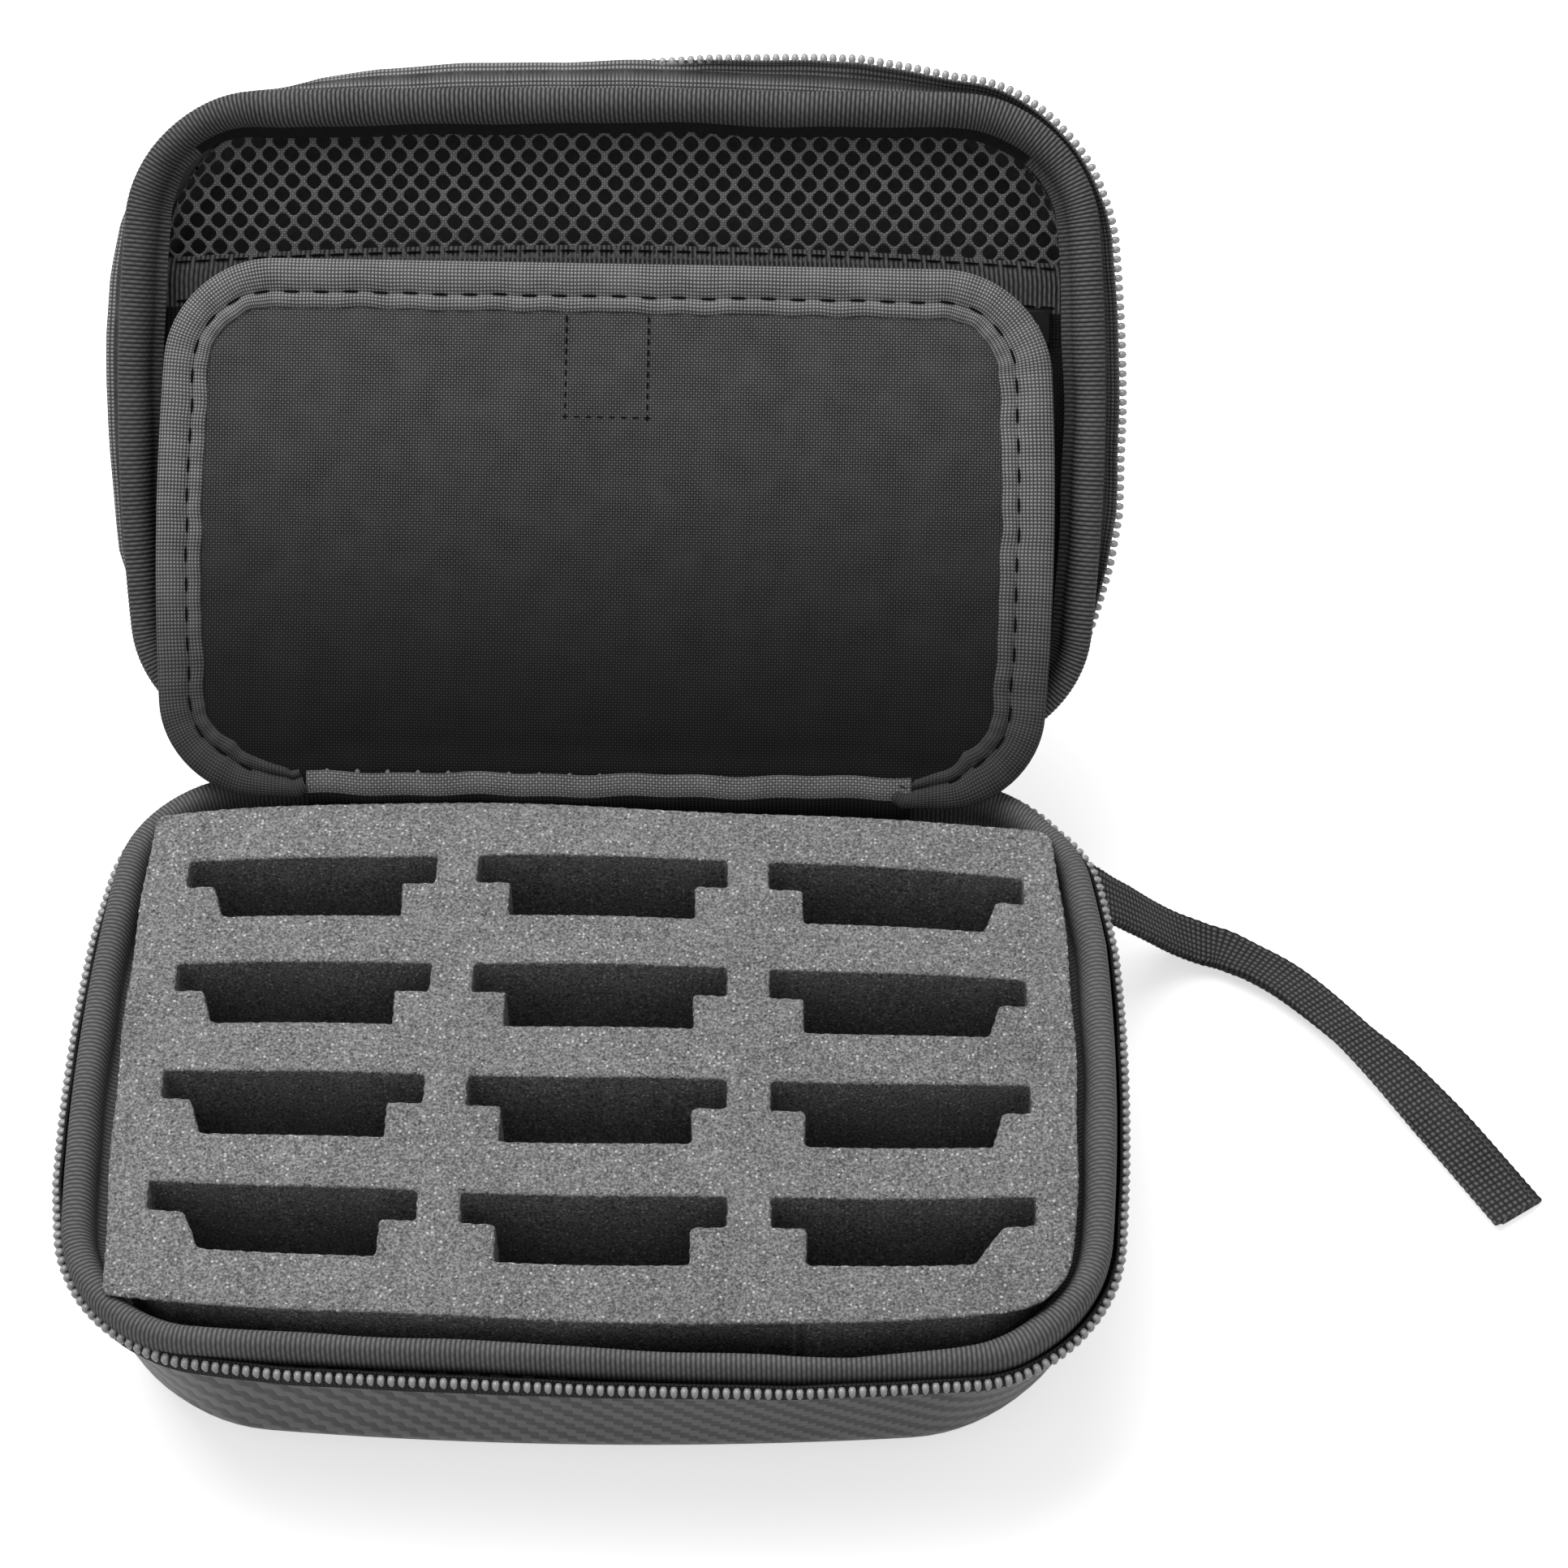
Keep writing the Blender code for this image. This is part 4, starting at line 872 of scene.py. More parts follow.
def case_halves():
    """Shell and lining of the base and of the lid."""
    lining_in = SHELL_SET_IN + WALL + GAP
    for body, height, side in (("base", BASE_HEIGHT, -1), ("lid", LID_HEIGHT, 1)):
        shell = tub(body + "_twill_shell", SHELL_SET_IN, WALL, height, side, FINISH["shell"])
        piece(shell, body, "shell", body + "_shell")
        lining = tub(body + "_cloth_lining", lining_in, LINING, height - WALL - GAP, side, FINISH["lining"])
        piece(lining, body, "lining", body + "_lining")


# Rims
def roll_width(body, outward):
    """Width of the rim's roll by the way it faces."""
    side, front, rear = ROLL_WIDTHS[body]
    ahead = np.where(outward[:, 1] < 0, front, rear)
    return side * outward[:, 0] ** 2 + ahead * outward[:, 1] ** 2


def rim_binding(body, side):
    """Ribbed cloth rolled over the rim, with a flank that slopes in below it and a slow unevenness; where
    the rim faces the front, the flank gets painted shade.
    """
    line = rim(0.0)
    whole = closed_lengths(line)[-1]
    ribs = round(whole / BINDING_RIB)
    points, outward, at = walk(line, ribs * 4, whole=True)
    share, depth = np.array(ROLL_SECTION).T
    aim = np.stack([share + 0.5, 0.5 - depth / BINDING_HEIGHT])
    aim /= np.linalg.norm(aim, axis=0)
    rib = -ROLL_RIB[body] * np.cos(2 * np.pi * np.arange(len(at)) / 4)[:, None]
    lie, dip = rim_lie(body, at)
    outer, inner, sag = roll_lie(body, at)
    width = roll_width(body, outward) + wander(at, ROLL_WANDER, 7, 13, 23)
    width = width[:, None] + np.clip(lie, 0.0, None) + (outer - inner)
    sunk = ROLL_DIP[body] * np.clip(-outward[:, 1], 0.0, 1.0)[:, None] ** 2 + dip + sag
    out = width * share + lie + outer + rib * aim[0]
    roll = swept(points, outward, out, depth + sunk - rib * aim[1], side)
    section = closed_lengths(np.column_stack([share * ROLL_CLOTH, depth]))
    mesh = skin(body + "_rim_roll", roll, np.append(at, whole), section, FINISH[body + "_binding"],
                sharp=80.0, ring=True)
    # the flank's faces, where the rim faces the front, get the darker finish as painted shade
    mesh.materials.append(FINISH["painted_shade_skirt"])
    for face in mesh.polygons:
        step, place = divmod(face.index, len(share))
        face.material_index = 1 if place in ROLL_PAINTED_SHADE and outward[step, 1] < SKIRT_FACES else 0
    piece(mesh, body, "binding", body + "_binding")


def roll_lie(body, at):
    """Shifts of the roll's edges and its sag, along the rim."""
    along, outer, inner, sag = np.array(ROLL_LIE[body]).T
    return [np.interp(at, along, shift)[:, None] for shift in (outer, inner, sag)]


def rim_lie(body, at):
    """How far the sewn rim lies outside its drawn line, and how far it sags there."""
    along, out = np.array(RIM_LIE[body]).T
    lie = np.interp(at, along, out)[:, None]
    return lie, LIE_SAG * np.clip(lie, 0.0, None)


def tape_lie(body, at):
    """Stand-off of the zip tape's edge and how far it is turned back, along the rim."""
    along, stand, turned = np.array(TAPE_LIE[body]).T
    return np.interp(at, along, stand)[:, None], np.interp(at, along, turned)[:, None]


def zip_tape(body, side):
    """Woven tape that leaves the seam under the binding and leans out to carry the teeth."""
    points, outward, at = walk(rim(0.0), TAPE_STEPS, HINGE_LENGTH / 2 - TAPE_LAP)
    stand, turned = tape_lie(body, at)
    ripple = wander(at, TAPE_WANDER, 9, 17, 31)[:, None]
    foot = np.array((TAPE_FOOT[body], -0.0002, 0.0, 0.0, 0.0))
    reach, upright, back, ease = (np.array(row) for row in (
        TAPE_REACH[body], TAPE_UPRIGHT[body], TAPE_BACK, TAPE_EASE))
    lie, dip = rim_lie(body, at)
    out = foot + reach * stand + ripple + lie * ease
    depth = upright * (1 - turned) + back * turned + dip * ease
    thickness, below = TAPE_THICKNESS
    both_out = np.concatenate([out, out[:, ::-1] - thickness], 1)
    both_depth = np.concatenate([depth, depth[:, ::-1] + below * turned], 1)
    section = closed_lengths(np.column_stack([both_out[0], np.concatenate([upright, upright[::-1]])]))
    tape = swept(points, outward, both_out, both_depth, side)
    # the base's tape takes the copy with painted shade, the lid's the copy with painted light
    mesh = skin(body + "_woven_tape", tape, np.append(at, at[-1]), section, FINISH[body + "_tape"])
    piece(mesh, body, "tape", body + "_zip_tape")


def zip_teeth(body, side):
    """Row of moulded teeth along the tape's edge, beyond the sliders."""
    points, outward, at = walk(rim(0.0), TEETH_STEPS, HINGE_LENGTH / 2 + SLIDER_LENGTH + 2 * GAP)
    stand, turned = tape_lie(body, at)
    lie, dip = rim_lie(body, at)
    out = stand + lie + TOOTH_OUT + TOOTH_TURN[0] * turned
    row = swept(points, outward, out, TEETH_DEPTH + dip + TOOTH_TURN[1] * turned, side)[:, 0]
    length, width, height = TOOTH_SIZE
    tooth = pebble("tooth", (length, width, -side * height), square=2.3, taper=0.55)
    mesh = repeated(body + "_tooth_row", row, TOOTH_PITCH, tooth, FINISH["teeth"])
    piece(mesh, body, "teeth", body + "_zip_teeth")


def carried_across(section, x):
    """Section points (y, z) carried along places across the case."""
    points = np.empty((len(x), len(section), 3))
    points[:, :, 0] = x[:, None]
    points[:, :, 1:] = section[None]
    return points


def hinge_cloth():
    """Folded cloth that joins the halves behind; it bends where the case opens."""
    half = HINGE_LENGTH / 2 - HINGE_CLOTH_END
    lines = []
    for face in (0.0, HINGE_CLOTH):
        leaf = [(HALF_DEPTH + out + face, RIM_Z + rise) for out, rise in HINGE_CLOTH_LINE]
        fold = (HINGE.y, RIM_Z + HINGE_CLOTH_RISE - face)
        upper = [LID_SEAT @ Vector((0.0, HALF_DEPTH + out + face, RIM_Z - rise))
                 for out, rise in reversed(HINGE_CLOTH_LINE)]
        lines.append(leaf + [fold] + [(point.y, point.z) for point in upper])
    section = np.array(lines[0] + lines[1][::-1])
    x = np.linspace(-half, half, 60)
    mesh = skin("hinge_fold_cloth", carried_across(section, x), np.append(x, half), closed_lengths(section),
                FINISH["base_tape"])
    made = linked(mesh.name, mesh)
    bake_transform(made)
    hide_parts("base_hinge_cloth", "lid_hinge_cloth")


# Foam
def soft_corners(points, radius, steps, fills):
    """Closed outline with rounded corners and even points on its straight runs."""
    made = []
    count = len(points)
    radii = np.broadcast_to(radius, count)
    fills = np.broadcast_to(fills, count)
    for index in range(count):
        before, here, after = (np.asarray(points[(index + k) % count], float) for k in (-1, 0, 1))
        arms = []
        for end in (before, after):
            arm = end - here
            arms.append(here + arm * min(radii[index] / np.linalg.norm(arm), 0.45))
        for share in np.linspace(0.0, 1.0, steps):
            made.append(arms[0] * (1 - share) ** 2 + 2 * here * share * (1 - share) + arms[1] * share ** 2)
        arm = here - after
        stop = after + arm * min(radii[(index + 1) % count] / np.linalg.norm(arm), 0.45)
        for share in np.arange(1, fills[index]) / fills[index]:
            made.append(arms[1] * (1 - share) + stop * share)
    return np.array(made)


def ragged(points):
    """Slight unevenness of die-cut foam, coarse and fine."""
    x, y = points[:, 0], points[:, 1]
    coarse = np.column_stack([0.00018 * np.sin(210 * y + 90 * x), 0.00022 * np.sin(95 * x + 40 * y + 0.6)])
    fine = np.column_stack([np.sin(1900 * y + 700 * x) + np.sin(2900 * y - 400 * x + 1.0),
                            np.sin(1700 * x - 500 * y) + np.sin(2600 * x + 300 * y + 2.0)])
    return points + coarse + FOAM_RAGGED * fine


def pulled(points):
    """Slots moved with the foam, which is pressed at its corners and barrels between them."""
    x, y = points[:, 0] / SLOT_PULL_SPAN[0], points[:, 1] / SLOT_PULL_SPAN[1]
    terms = np.column_stack([np.ones(len(x)), y, x, x * y, x * x, x * x * y])
    return points + np.column_stack([terms @ np.array(SLOT_PULL_X), terms @ np.array(SLOT_PULL_Y)])


def foam_outline(grow):
    """Bowed four-sided outline of the foam's top, whose corners lap the binding."""
    corners = np.array(FOAM_CORNERS)
    corners = corners + np.sign(corners) * grow
    line = soft_corners(corners, FOAM_CORNER_RADII, 7, (130, 200, 130, 200))
    made = line.copy()
    for index, (bow, square, sway) in enumerate(FOAM_BOWS):
        first, last = corners[index], corners[(index + 1) % 4]
        chord = last - first
        outward = np.array((chord[1], -chord[0])) / np.linalg.norm(chord)
        share = ((line - first) @ chord) / (chord @ chord)
        off = np.abs((line - first) @ outward)
        weight = np.clip(1 - off / FOAM_BOW_REACH, 0.0, 1.0)
        along = np.clip(share, 0.0, 1.0)
        bulge = bow * (1 - np.abs(2 * along - 1) ** square) + sway * np.sin(2 * np.pi * along)
        made += outward * (bulge * weight)[:, None]
    return made


def within(points, outline):
    """Which points lie inside a closed outline."""
    x, y = points[:, 0, None], points[:, 1, None]
    x1, y1 = outline[:, 0], outline[:, 1]
    x2, y2 = np.roll(x1, -1), np.roll(y1, -1)
    crosses = (y1 > y) != (y2 > y)
    rise = np.where(y2 == y1, 1e-12, y2 - y1)
    return (crosses & (x < (x2 - x1) * (y - y1) / rise + x1)).sum(1) % 2 == 1


def drawn_in(points, outline):
    """Points moved straight to the middle until they lie inside an outline."""
    low, high = np.zeros(len(points)), np.ones(len(points))
    whole = within(points, outline)
    for _ in range(20):
        half = (low + high) / 2
        good = within(points * half[:, None], outline)
        low = np.where(good, half, low)
        high = np.where(good, high, half)
    return np.where(whole[:, None], points, points * low[:, None])


def slot_outline(x, y, left_end, right_end, grow):
    """Stepped slot: a wide band at the far side and a narrower one in front of it."""
    far = y + SLOT_DEPTH / 2 + grow
    step = y + SLOT_DEPTH / 2 - SLOT_STEP - grow
    near = y - SLOT_DEPTH / 2 - grow
    wide = SLOT_WIDE / 2 + grow
    left, right = (SLOT_NARROW / 2 + grow + end[0] for end in (left_end, right_end))
    corners = [
        (x - wide, far), (x - wide, step), (x - left, step), (x - left + left_end[1], near),
        (x + right - right_end[1], near), (x + right, step), (x + wide, step), (x + wide, far),
    ]
    return ragged(pulled(soft_corners(corners, SLOT_CORNER, 4, SLOT_FILLS)))


def slots(grow):
    """Outlines of all the slots, row by row; only the outer ends of the outer columns slant."""
    made = []
    square = (0.0, 0.0)
    for row in range(SLOT_ROWS):
        y = SLOT_PATTERN_Y + ((SLOT_ROWS - 1) / 2 - row) * SLOT_PITCH_Y
        ends = (SLOT_FRONT_LEFT_END, SLOT_FRONT_RIGHT_END) if row == SLOT_ROWS - 1 else (SLOT_END, SLOT_END)
        for column in range(SLOT_COLUMNS):
            x = (column - (SLOT_COLUMNS - 1) / 2) * SLOT_PITCH_X
            left_end = ends[0] if column == 0 else square
            right_end = ends[1] if column == SLOT_COLUMNS - 1 else square
            made.append(slot_outline(x, y, left_end, right_end, grow))
    return made


def ring_faces(work, rings):
    """Faces between closed rings of equal count; returns the rings' vertices."""
    loops = [[work.verts.new(point) for point in ring] for ring in rings]
    for lower, upper in zip(loops, loops[1:]):
        for index in range(len(lower)):
            after = (index + 1) % len(lower)
            work.faces.new((lower[index], lower[after], upper[after], upper[index]))
    return loops


def slab(name, outer, holes):
    """Closed slab from stacked outer rings and stacked hole rings, bottom first."""
    work = bmesh.new()
    stacks = [ring_faces(work, outer)] + [ring_faces(work, hole) for hole in holes]
    for level in (0, -1):
        rims = [stack[level] for stack in stacks]
        corners = [vertex for rim_loop in rims for vertex in rim_loop]
        for triangle in tessellate_polygon([[vertex.co for vertex in loop] for loop in rims]):
            if len(set(triangle)) == 3:
                work.faces.new([corners[index] for index in triangle])
    mesh = bpy.data.meshes.new(name)
    work.to_mesh(mesh)
    work.free()
    return mesh


def foam_insert():
    """Die-cut foam block: its own grey on top, and a darker copy of the same foam as painted shade on the
    faces round it and in every slot.
    """
    opening = rim(-FOAM_OPENING)
    opening = np.column_stack([opening[:, 0], np.minimum(opening[:, 1], FOAM_REAR)])
    full = ragged(foam_outline(0.0))
    low = drawn_in(full, opening)
    outer = [at_height(low, z) for z in (FOAM_BOTTOM, FOAM_MIDDLE, FOAM_LIP - FOAM_LIP_SLOPE)]
    outer.append(at_height(full, FOAM_LIP))
    levels = (FOAM_BOTTOM, FOAM_MIDDLE, FOAM_TOP - FOAM_EDGE)
    holes = [[at_height(slot, z) for z in levels] for slot in slots(0.0)]
    for angle in np.radians((30.0, 60.0, 90.0)):
        grow = FOAM_EDGE * (1 - math.cos(angle))
        z = FOAM_TOP - FOAM_EDGE * (1 - math.sin(angle))
        outer.append(at_height(ragged(foam_outline(-grow)), z))
        for hole, slot in zip(holes, slots(grow)):
            hole.append(at_height(slot, z))
    mesh = slab("cut_foam_insert", outer, holes)
    mesh.materials.append(FINISH["foam"])
    mesh.materials.append(FINISH["foam_painted_shade"])
    # faces below the softened top edge take the darker copy as painted shade
    for face in mesh.polygons:
        face.material_index = 0 if face.center.z > FOAM_TOP - FOAM_EDGE * 0.45 else 1
    tidy_mesh(mesh, 60.0)
    piece(mesh, "base", "foam", "foam_insert")


def foam_floor_pad():
    """Soft pad under the insert, in the foam's darker copy as painted shade at the bottom of the slots."""
    low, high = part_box("foam_floor_pad")
    face, edge = FLOOR_PAD_EDGE
    levels = [(face, low.z), (edge, low.z + edge), (0.0, (low.z + high.z) / 2),
              (edge, high.z - edge), (face, high.z)]
    points = np.array([at_height(rim(-FLOOR_PAD_IN - inset, FLOOR_PAD_CORNER), z) for inset, z in levels])
    around = closed_lengths(rim(-FLOOR_PAD_IN))
    up = np.arange(len(levels) + 1) * 0.001
    mesh = skin("soft_floor_pad", points, up, around, FINISH["foam_painted_shade"], 60.0)
    piece(mesh, "base", "foam", "foam_floor_pad")


# Flap
def flap_outline(out):
    """Flap outline, folded down on the foam."""
    bottom = max(FLAP_BOTTOM_CORNER + out, 0.0006)
    half = (FLAP_LENGTH + FLAP_DROP) / 2
    line = rounded(FLAP_HALF_WIDTH + out, half + out, FLAP_CORNER + out, bottom, FLAP_BOW, 0.0)
    line[:, 1] += FLAP_AXIS.y - FLAP_START + FLAP_DROP - half
    hem = FLAP_AXIS.y - FLAP_START + out
    past, ease = FLAP_HELD
    held = np.clip((FLAP_HEM / 2 + past - np.abs(line[:, 0])) / ease, 0.0, 1.0)
    line[:, 1] -= held * np.clip(line[:, 1] - hem, 0.0, None)
    return line


def flap_panel():
    """Padded panel: thin under its binding, with a soft crown on both faces."""
    middle = FLAP_FACE_Z + FLAP_THICKNESS / 2
    innermost = PANEL_CROWN[-1][0]
    rows = [(inset, -rise) for inset, rise in reversed(PANEL_CROWN)] + list(PANEL_CROWN)
    points = []
    for inset, rise in rows:
        line = flap_outline(-inset)
        soft = PANEL_SWELL * (np.sin(70 * line[:, 0] + 2.0) * np.sin(85 * line[:, 1]))
        share = min(1.0, inset / 0.02, (innermost - inset) / 0.010)
        points.append(np.column_stack([line, middle + rise + soft * share]))
    points = np.array(points)
    cloth = skin("panel_cloth", points, np.zeros(len(rows) + 1), np.zeros(points.shape[1] + 1),
                 FINISH["panel"])
    flat_cloth(cloth)
    panel = piece(joined("flap_padded_panel", [cloth] + box_stitches()), "flap", "cloth", "flap_panel")


def flat_cloth(mesh):
    """Cloth coordinates straight from the plan, for pieces that lie flat."""
    place = np.empty(len(mesh.vertices) * 3)
    mesh.vertices.foreach_get("co", place)
    corner = np.empty(len(mesh.loops), int)
    mesh.loops.foreach_get("vertex_index", corner)
    mesh.uv_layers["cloth"].data.foreach_set("uv", place.reshape(-1, 3)[corner, :2].ravel())


def flap_binding():
    """Woven binding folded round three edges, drawn down along its stitches and tucked in at its ends."""
    points, outward, at = walk(flap_outline(0.0), EDGE_STEPS, FLAP_HEM / 2 + EDGE_START)
    from_end = np.minimum(at - at[0], at[-1] - at)
    tuck = EDGE_TUCK + (1 - EDGE_TUCK) * np.clip(from_end / EDGE_TUCK_LENGTH, 0.0, 1.0)
    lap = (FLAP_LAP + FLAP_LAP_LEAN * outward[:, 0]) * tuck + wander(at, EDGE_WANDER, 11, 19, 37, 53)
    lap = lap[:, None]
    across, sink = np.array(EDGE_SECTION).T
    half = FLAP_THICKNESS / 2
    fold_out, fold_in = np.array(EDGE_FOLD).T
    fold = np.concatenate([fold_out, [0.0], fold_out[::-1]])
    count = len(at)
    out = np.concatenate([-lap * across[None], np.broadcast_to(fold, (count, len(fold))),
                          -lap * across[::-1][None]], 1)
    z = np.concatenate([-half + sink, -half + fold_in, [0.0], half - fold_in[::-1], half - sink[::-1]])
    skin_out = out[:, ::-1] - np.where(np.abs(z[::-1]) < half - 0.0005, FLAP_SKIN, 0.0)[None]
    skin_z = z[::-1] - np.sign(z[::-1]) * FLAP_SKIN * (np.abs(z[::-1]) > half - 0.0012)
    out = np.concatenate([out, skin_out], 1)
    z = np.concatenate([z, skin_z])
    faces = np.abs(np.abs(z) - half) < 0.0005
    ripple = EDGE_PUCKER * np.sin(2 * np.pi * at / STITCH_STEP)[:, None] * faces
    height = FLAP_FACE_Z + half + np.broadcast_to(z, out.shape) + ripple * np.sign(z)
    section = closed_lengths(np.column_stack([out[count // 2], z]))
    cloth = skin("edge_cloth", swept(points, outward, out, height - RIM_Z, 1), np.append(at, at[-1]),
                 section, FINISH["flap_binding"], 60.0)
    seam = at_height((points - outward * lap * STITCH_IN)[from_end > SEAM_END], FLAP_FACE_Z + SEAM_SUNK)
    x = np.linspace(HEM_LOOPS_END - FLAP_HEM / 2, FLAP_HEM / 2 - HEM_LOOPS_END, 60)
    hem = np.column_stack([x, np.full(60, FLAP_AXIS.y - FLAP_START - HEM_LOOPS_IN)])
    hem = at_height(hem, FLAP_FACE_Z + HEM_LOOPS_SUNK)
    parts = [cloth, stitches("edge_seam", seam, STITCH_STEP, EDGE_STITCH),
             stitches("hem_loops", hem, STITCH_STEP, HEM_LOOP, "pale_thread")]
    piece(joined("flap_woven_edge", parts), "flap", "flap_binding", "flap_binding")


def box_stitches():
    """Dark stitches round three sides of the place where the patch behind the panel is sewn on."""
    runs = []
    for first, last in zip(PATCH_SEAM, PATCH_SEAM[1:]):
        line = at_height(np.vstack([[first], run(first, last, 20), [last]]), FLAP_FACE_Z - 0.00005)
        runs.append(stitches("patch_seam", line, PATCH_STITCH_STEP, PATCH_STITCH))
    return runs


def rounded_patch(name, low, high):
    """Flat napped patch with soft corners and edges."""
    edge, drop = PATCH_EDGE
    rows = []
    for inset, z in ((edge, low.z), (0.0, low.z + drop), (0.0, high.z - drop), (edge, high.z)):
        left, right, near, far = low.x + inset, high.x - inset, low.y + inset, high.y - inset
        corners = [(left, far), (left, near), (right, near), (right, far)]
        rows.append(at_height(soft_corners(corners, PATCH_CORNER, 5, 6), z))
    points = np.array(rows)
    around = closed_lengths(points[1, :, :2])
    return skin(name, points, np.arange(len(rows) + 1) * 0.0005, around, FINISH["patch"], 60.0)


def node_box_closed(node, body):
    """Box of a flat node in its closed place."""
    back = SEAT[body].inverted() if body != "flap" else swung(FLAP_AXIS, FLAP_OPEN).inverted()
    corners = [back @ vertex.co for vertex in frame["nodes"][node].data.vertices]
    low = Vector([min(corner[axis] for corner in corners) for axis in range(3)])
    high = Vector([max(corner[axis] for corner in corners) for axis in range(3)])
    return low, high


def patches():
    """Hook patch behind the flap, and the loop patch on the pocket that it holds to."""
    for node, body, name in (("flap_hook_patch", "flap", "flap_hook_square"),
                             ("pocket_loop_patch", "lid", "pocket_loop_square")):
        low, high = node_box_closed(node, body)
        piece(rounded_patch(name, low, high), body, "lining", node)


def hinge_strip():
    """Hem tape that the flap folds on, sewn inside the rear binding; its lower faces take the dark tape's
    colour as painted shade.
    """
    half = FLAP_HEM / 2 + HEM_LAP
    section = np.array(HEM_FACE + HEM_BACK[::-1])
    x = np.linspace(-half, half, 160)
    points = carried_across(section, x)
    points[:, :, 1] += (0.00025 * np.sin(180 * x) + 0.0002 * np.sin(410 * x))[:, None]
    mesh = skin("flap_hem_tape", points, np.append(x, half), closed_lengths(section), FINISH["hem"])
    # faces below the set height get the dark tape as painted shade
    mesh.materials.append(FINISH["base_tape"])
    for strip in mesh.polygons:
        strip.material_index = 0 if strip.center.z > HEM_PAINTED_SHADE_BELOW else 1
    made = linked(mesh.name, mesh)
    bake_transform(made)
    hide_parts("flap_hinge_strip")


# Lid pocket
def inside_at(depth, height, clearance):
    """Outline offset and corner gain that clear the lining at a depth below the rim."""
    set_in = SHELL_SET_IN + WALL + GAP + LINING + clearance
    radius = BOTTOM_RADIUS - set_in + SHELL_SET_IN
    floor = height - (set_in - SHELL_SET_IN)
    rise = min(max(floor - depth, 0.0), radius)
    share = min(1.0, max(0.0, (depth - SHELL_TOP) / (floor - radius - SHELL_TOP)))
    curve = radius - math.sqrt(radius * radius - (radius - rise) ** 2)
    out = set_in + WALL_DRAFT * share + curve
    return -out, out + CORNER_GAIN * share


POCKET = rim(*inside_at(POCKET_DEPTH, LID_HEIGHT, GAP))
POCKET_Z = RIM_Z + POCKET_DEPTH


def pocket_half_width(y):
    """Half width of the pocket at a line across the lid."""
    left = POCKET[POCKET[:, 0] < -0.02]
    order = np.argsort(left[:, 1])
    return np.interp(y, left[order, 1], -left[order, 0])


def pocket_line(y, x):
    """Line across the pocket, which sags to the lid's front in its middle."""
    return y - POCKET_BOW * ((1 - (x / POCKET_SPAN) ** 2) - 0.5)


def pocket_strip(name, front, rear, columns, rows, finish, relief, bowed=(True, True)):
    """Cloth strip of the pocket between two lines, either of them bowed, with a relief over its face."""
    s = np.linspace(-1.0, 1.0, columns)
    t = np.linspace(0.0, 1.0, rows)
    half = pocket_half_width((front + rear) / 2)
    x = np.minimum(pocket_half_width(front + (rear - front) * t), half)[:, None] * s
    first = pocket_line(front, s * half) if bowed[0] else np.full(columns, front)
    last = pocket_line(rear, s * half) if bowed[1] else np.full(columns, rear)
    y = first[None] * (1 - t[:, None]) + last[None] * t[:, None]
    face = POCKET_Z - PANEL / 2 - relief(x, t[:, None] + 0 * x)
    back = np.full_like(face, POCKET_Z + PANEL / 2)
    loops = np.concatenate([np.stack([x, y, face], 2), np.stack([x, y, back], 2)[::-1]], 0)
    column_at = np.concatenate([t * (rear - front), (rear - front) + 0.001 + t * (rear - front), [0.0]])
    return skin(name, loops.transpose(1, 0, 2), np.append(s * half, half), column_at, finish)


def plain(x, t):
    """No relief."""
    return 0.0 * x


def rib_relief(x, t):
    """Ribs across the band, which die away at its edges."""
    return -BAND_RELIEF * np.cos(2 * np.pi * x / BAND_RIB) * np.minimum(1.0, 12 * t * (1 - t))


def pocket_cloth():
    """Band, zip tapes, coil and lower panel of the lid's pocket."""
    parts = [pocket_strip("band_cloth", NET_REAR, BAND_REAR, 931, 9, FINISH["band"], rib_relief)]
    x = np.linspace(-POCKET_SPAN, POCKET_SPAN, 120)
    for y in (NET_REAR + BAND_SEAM_IN, BAND_REAR - BAND_SEAM_IN):
        seam = np.column_stack([x, pocket_line(y, x), np.full(120, POCKET_Z - PANEL / 2 - 0.0002)])
        parts.append(stitches("band_seam", seam, BAND_STITCH_STEP, BAND_STITCH))
    piece(joined("pocket_ribbed_band", parts), "lid", "binding", "pocket_band")
    coil = BAND_REAR + TAPE_WIDTH
    second = coil + COIL_WIDTH + 2 * GAP
    panel = second + TAPE_WIDTH
    tape, straight = FINISH["base_tape"], (False, False)
    front = pocket_strip("pocket_front_tape", BAND_REAR, second, 120, 4, tape, plain, (True, False))
    piece(front, "lid", "tape", "pocket_zip_front_tape")
    rear = pocket_strip("pocket_rear_tape", second, panel, 120, 4, tape, plain, straight)
    piece(rear, "lid", "tape", "pocket_zip_rear_tape")
    lower = pocket_strip("pocket_lower_cloth", panel, POCKET_END, 60, 20, FINISH["cloth"], plain, straight)
    piece(lower, "lid", "cloth", "pocket_panel")
    low, high = node_box_closed("pocket_zip_coil", "lid")
    line = np.column_stack([np.linspace(low.x + 0.0006, high.x - 0.0006, 60),
                            np.full(60, (low.y + high.y) / 2), np.full(60, (low.z + high.z) / 2)])
    turn = pebble("coil_turn", (0.0009, COIL_WIDTH - 0.0002, 0.0014), square=2.6)
    turns = repeated("pocket_coil_turns", line, COIL_PITCH, turn, FINISH["teeth"])
    piece(turns, "lid", "teeth", "pocket_zip_coil")


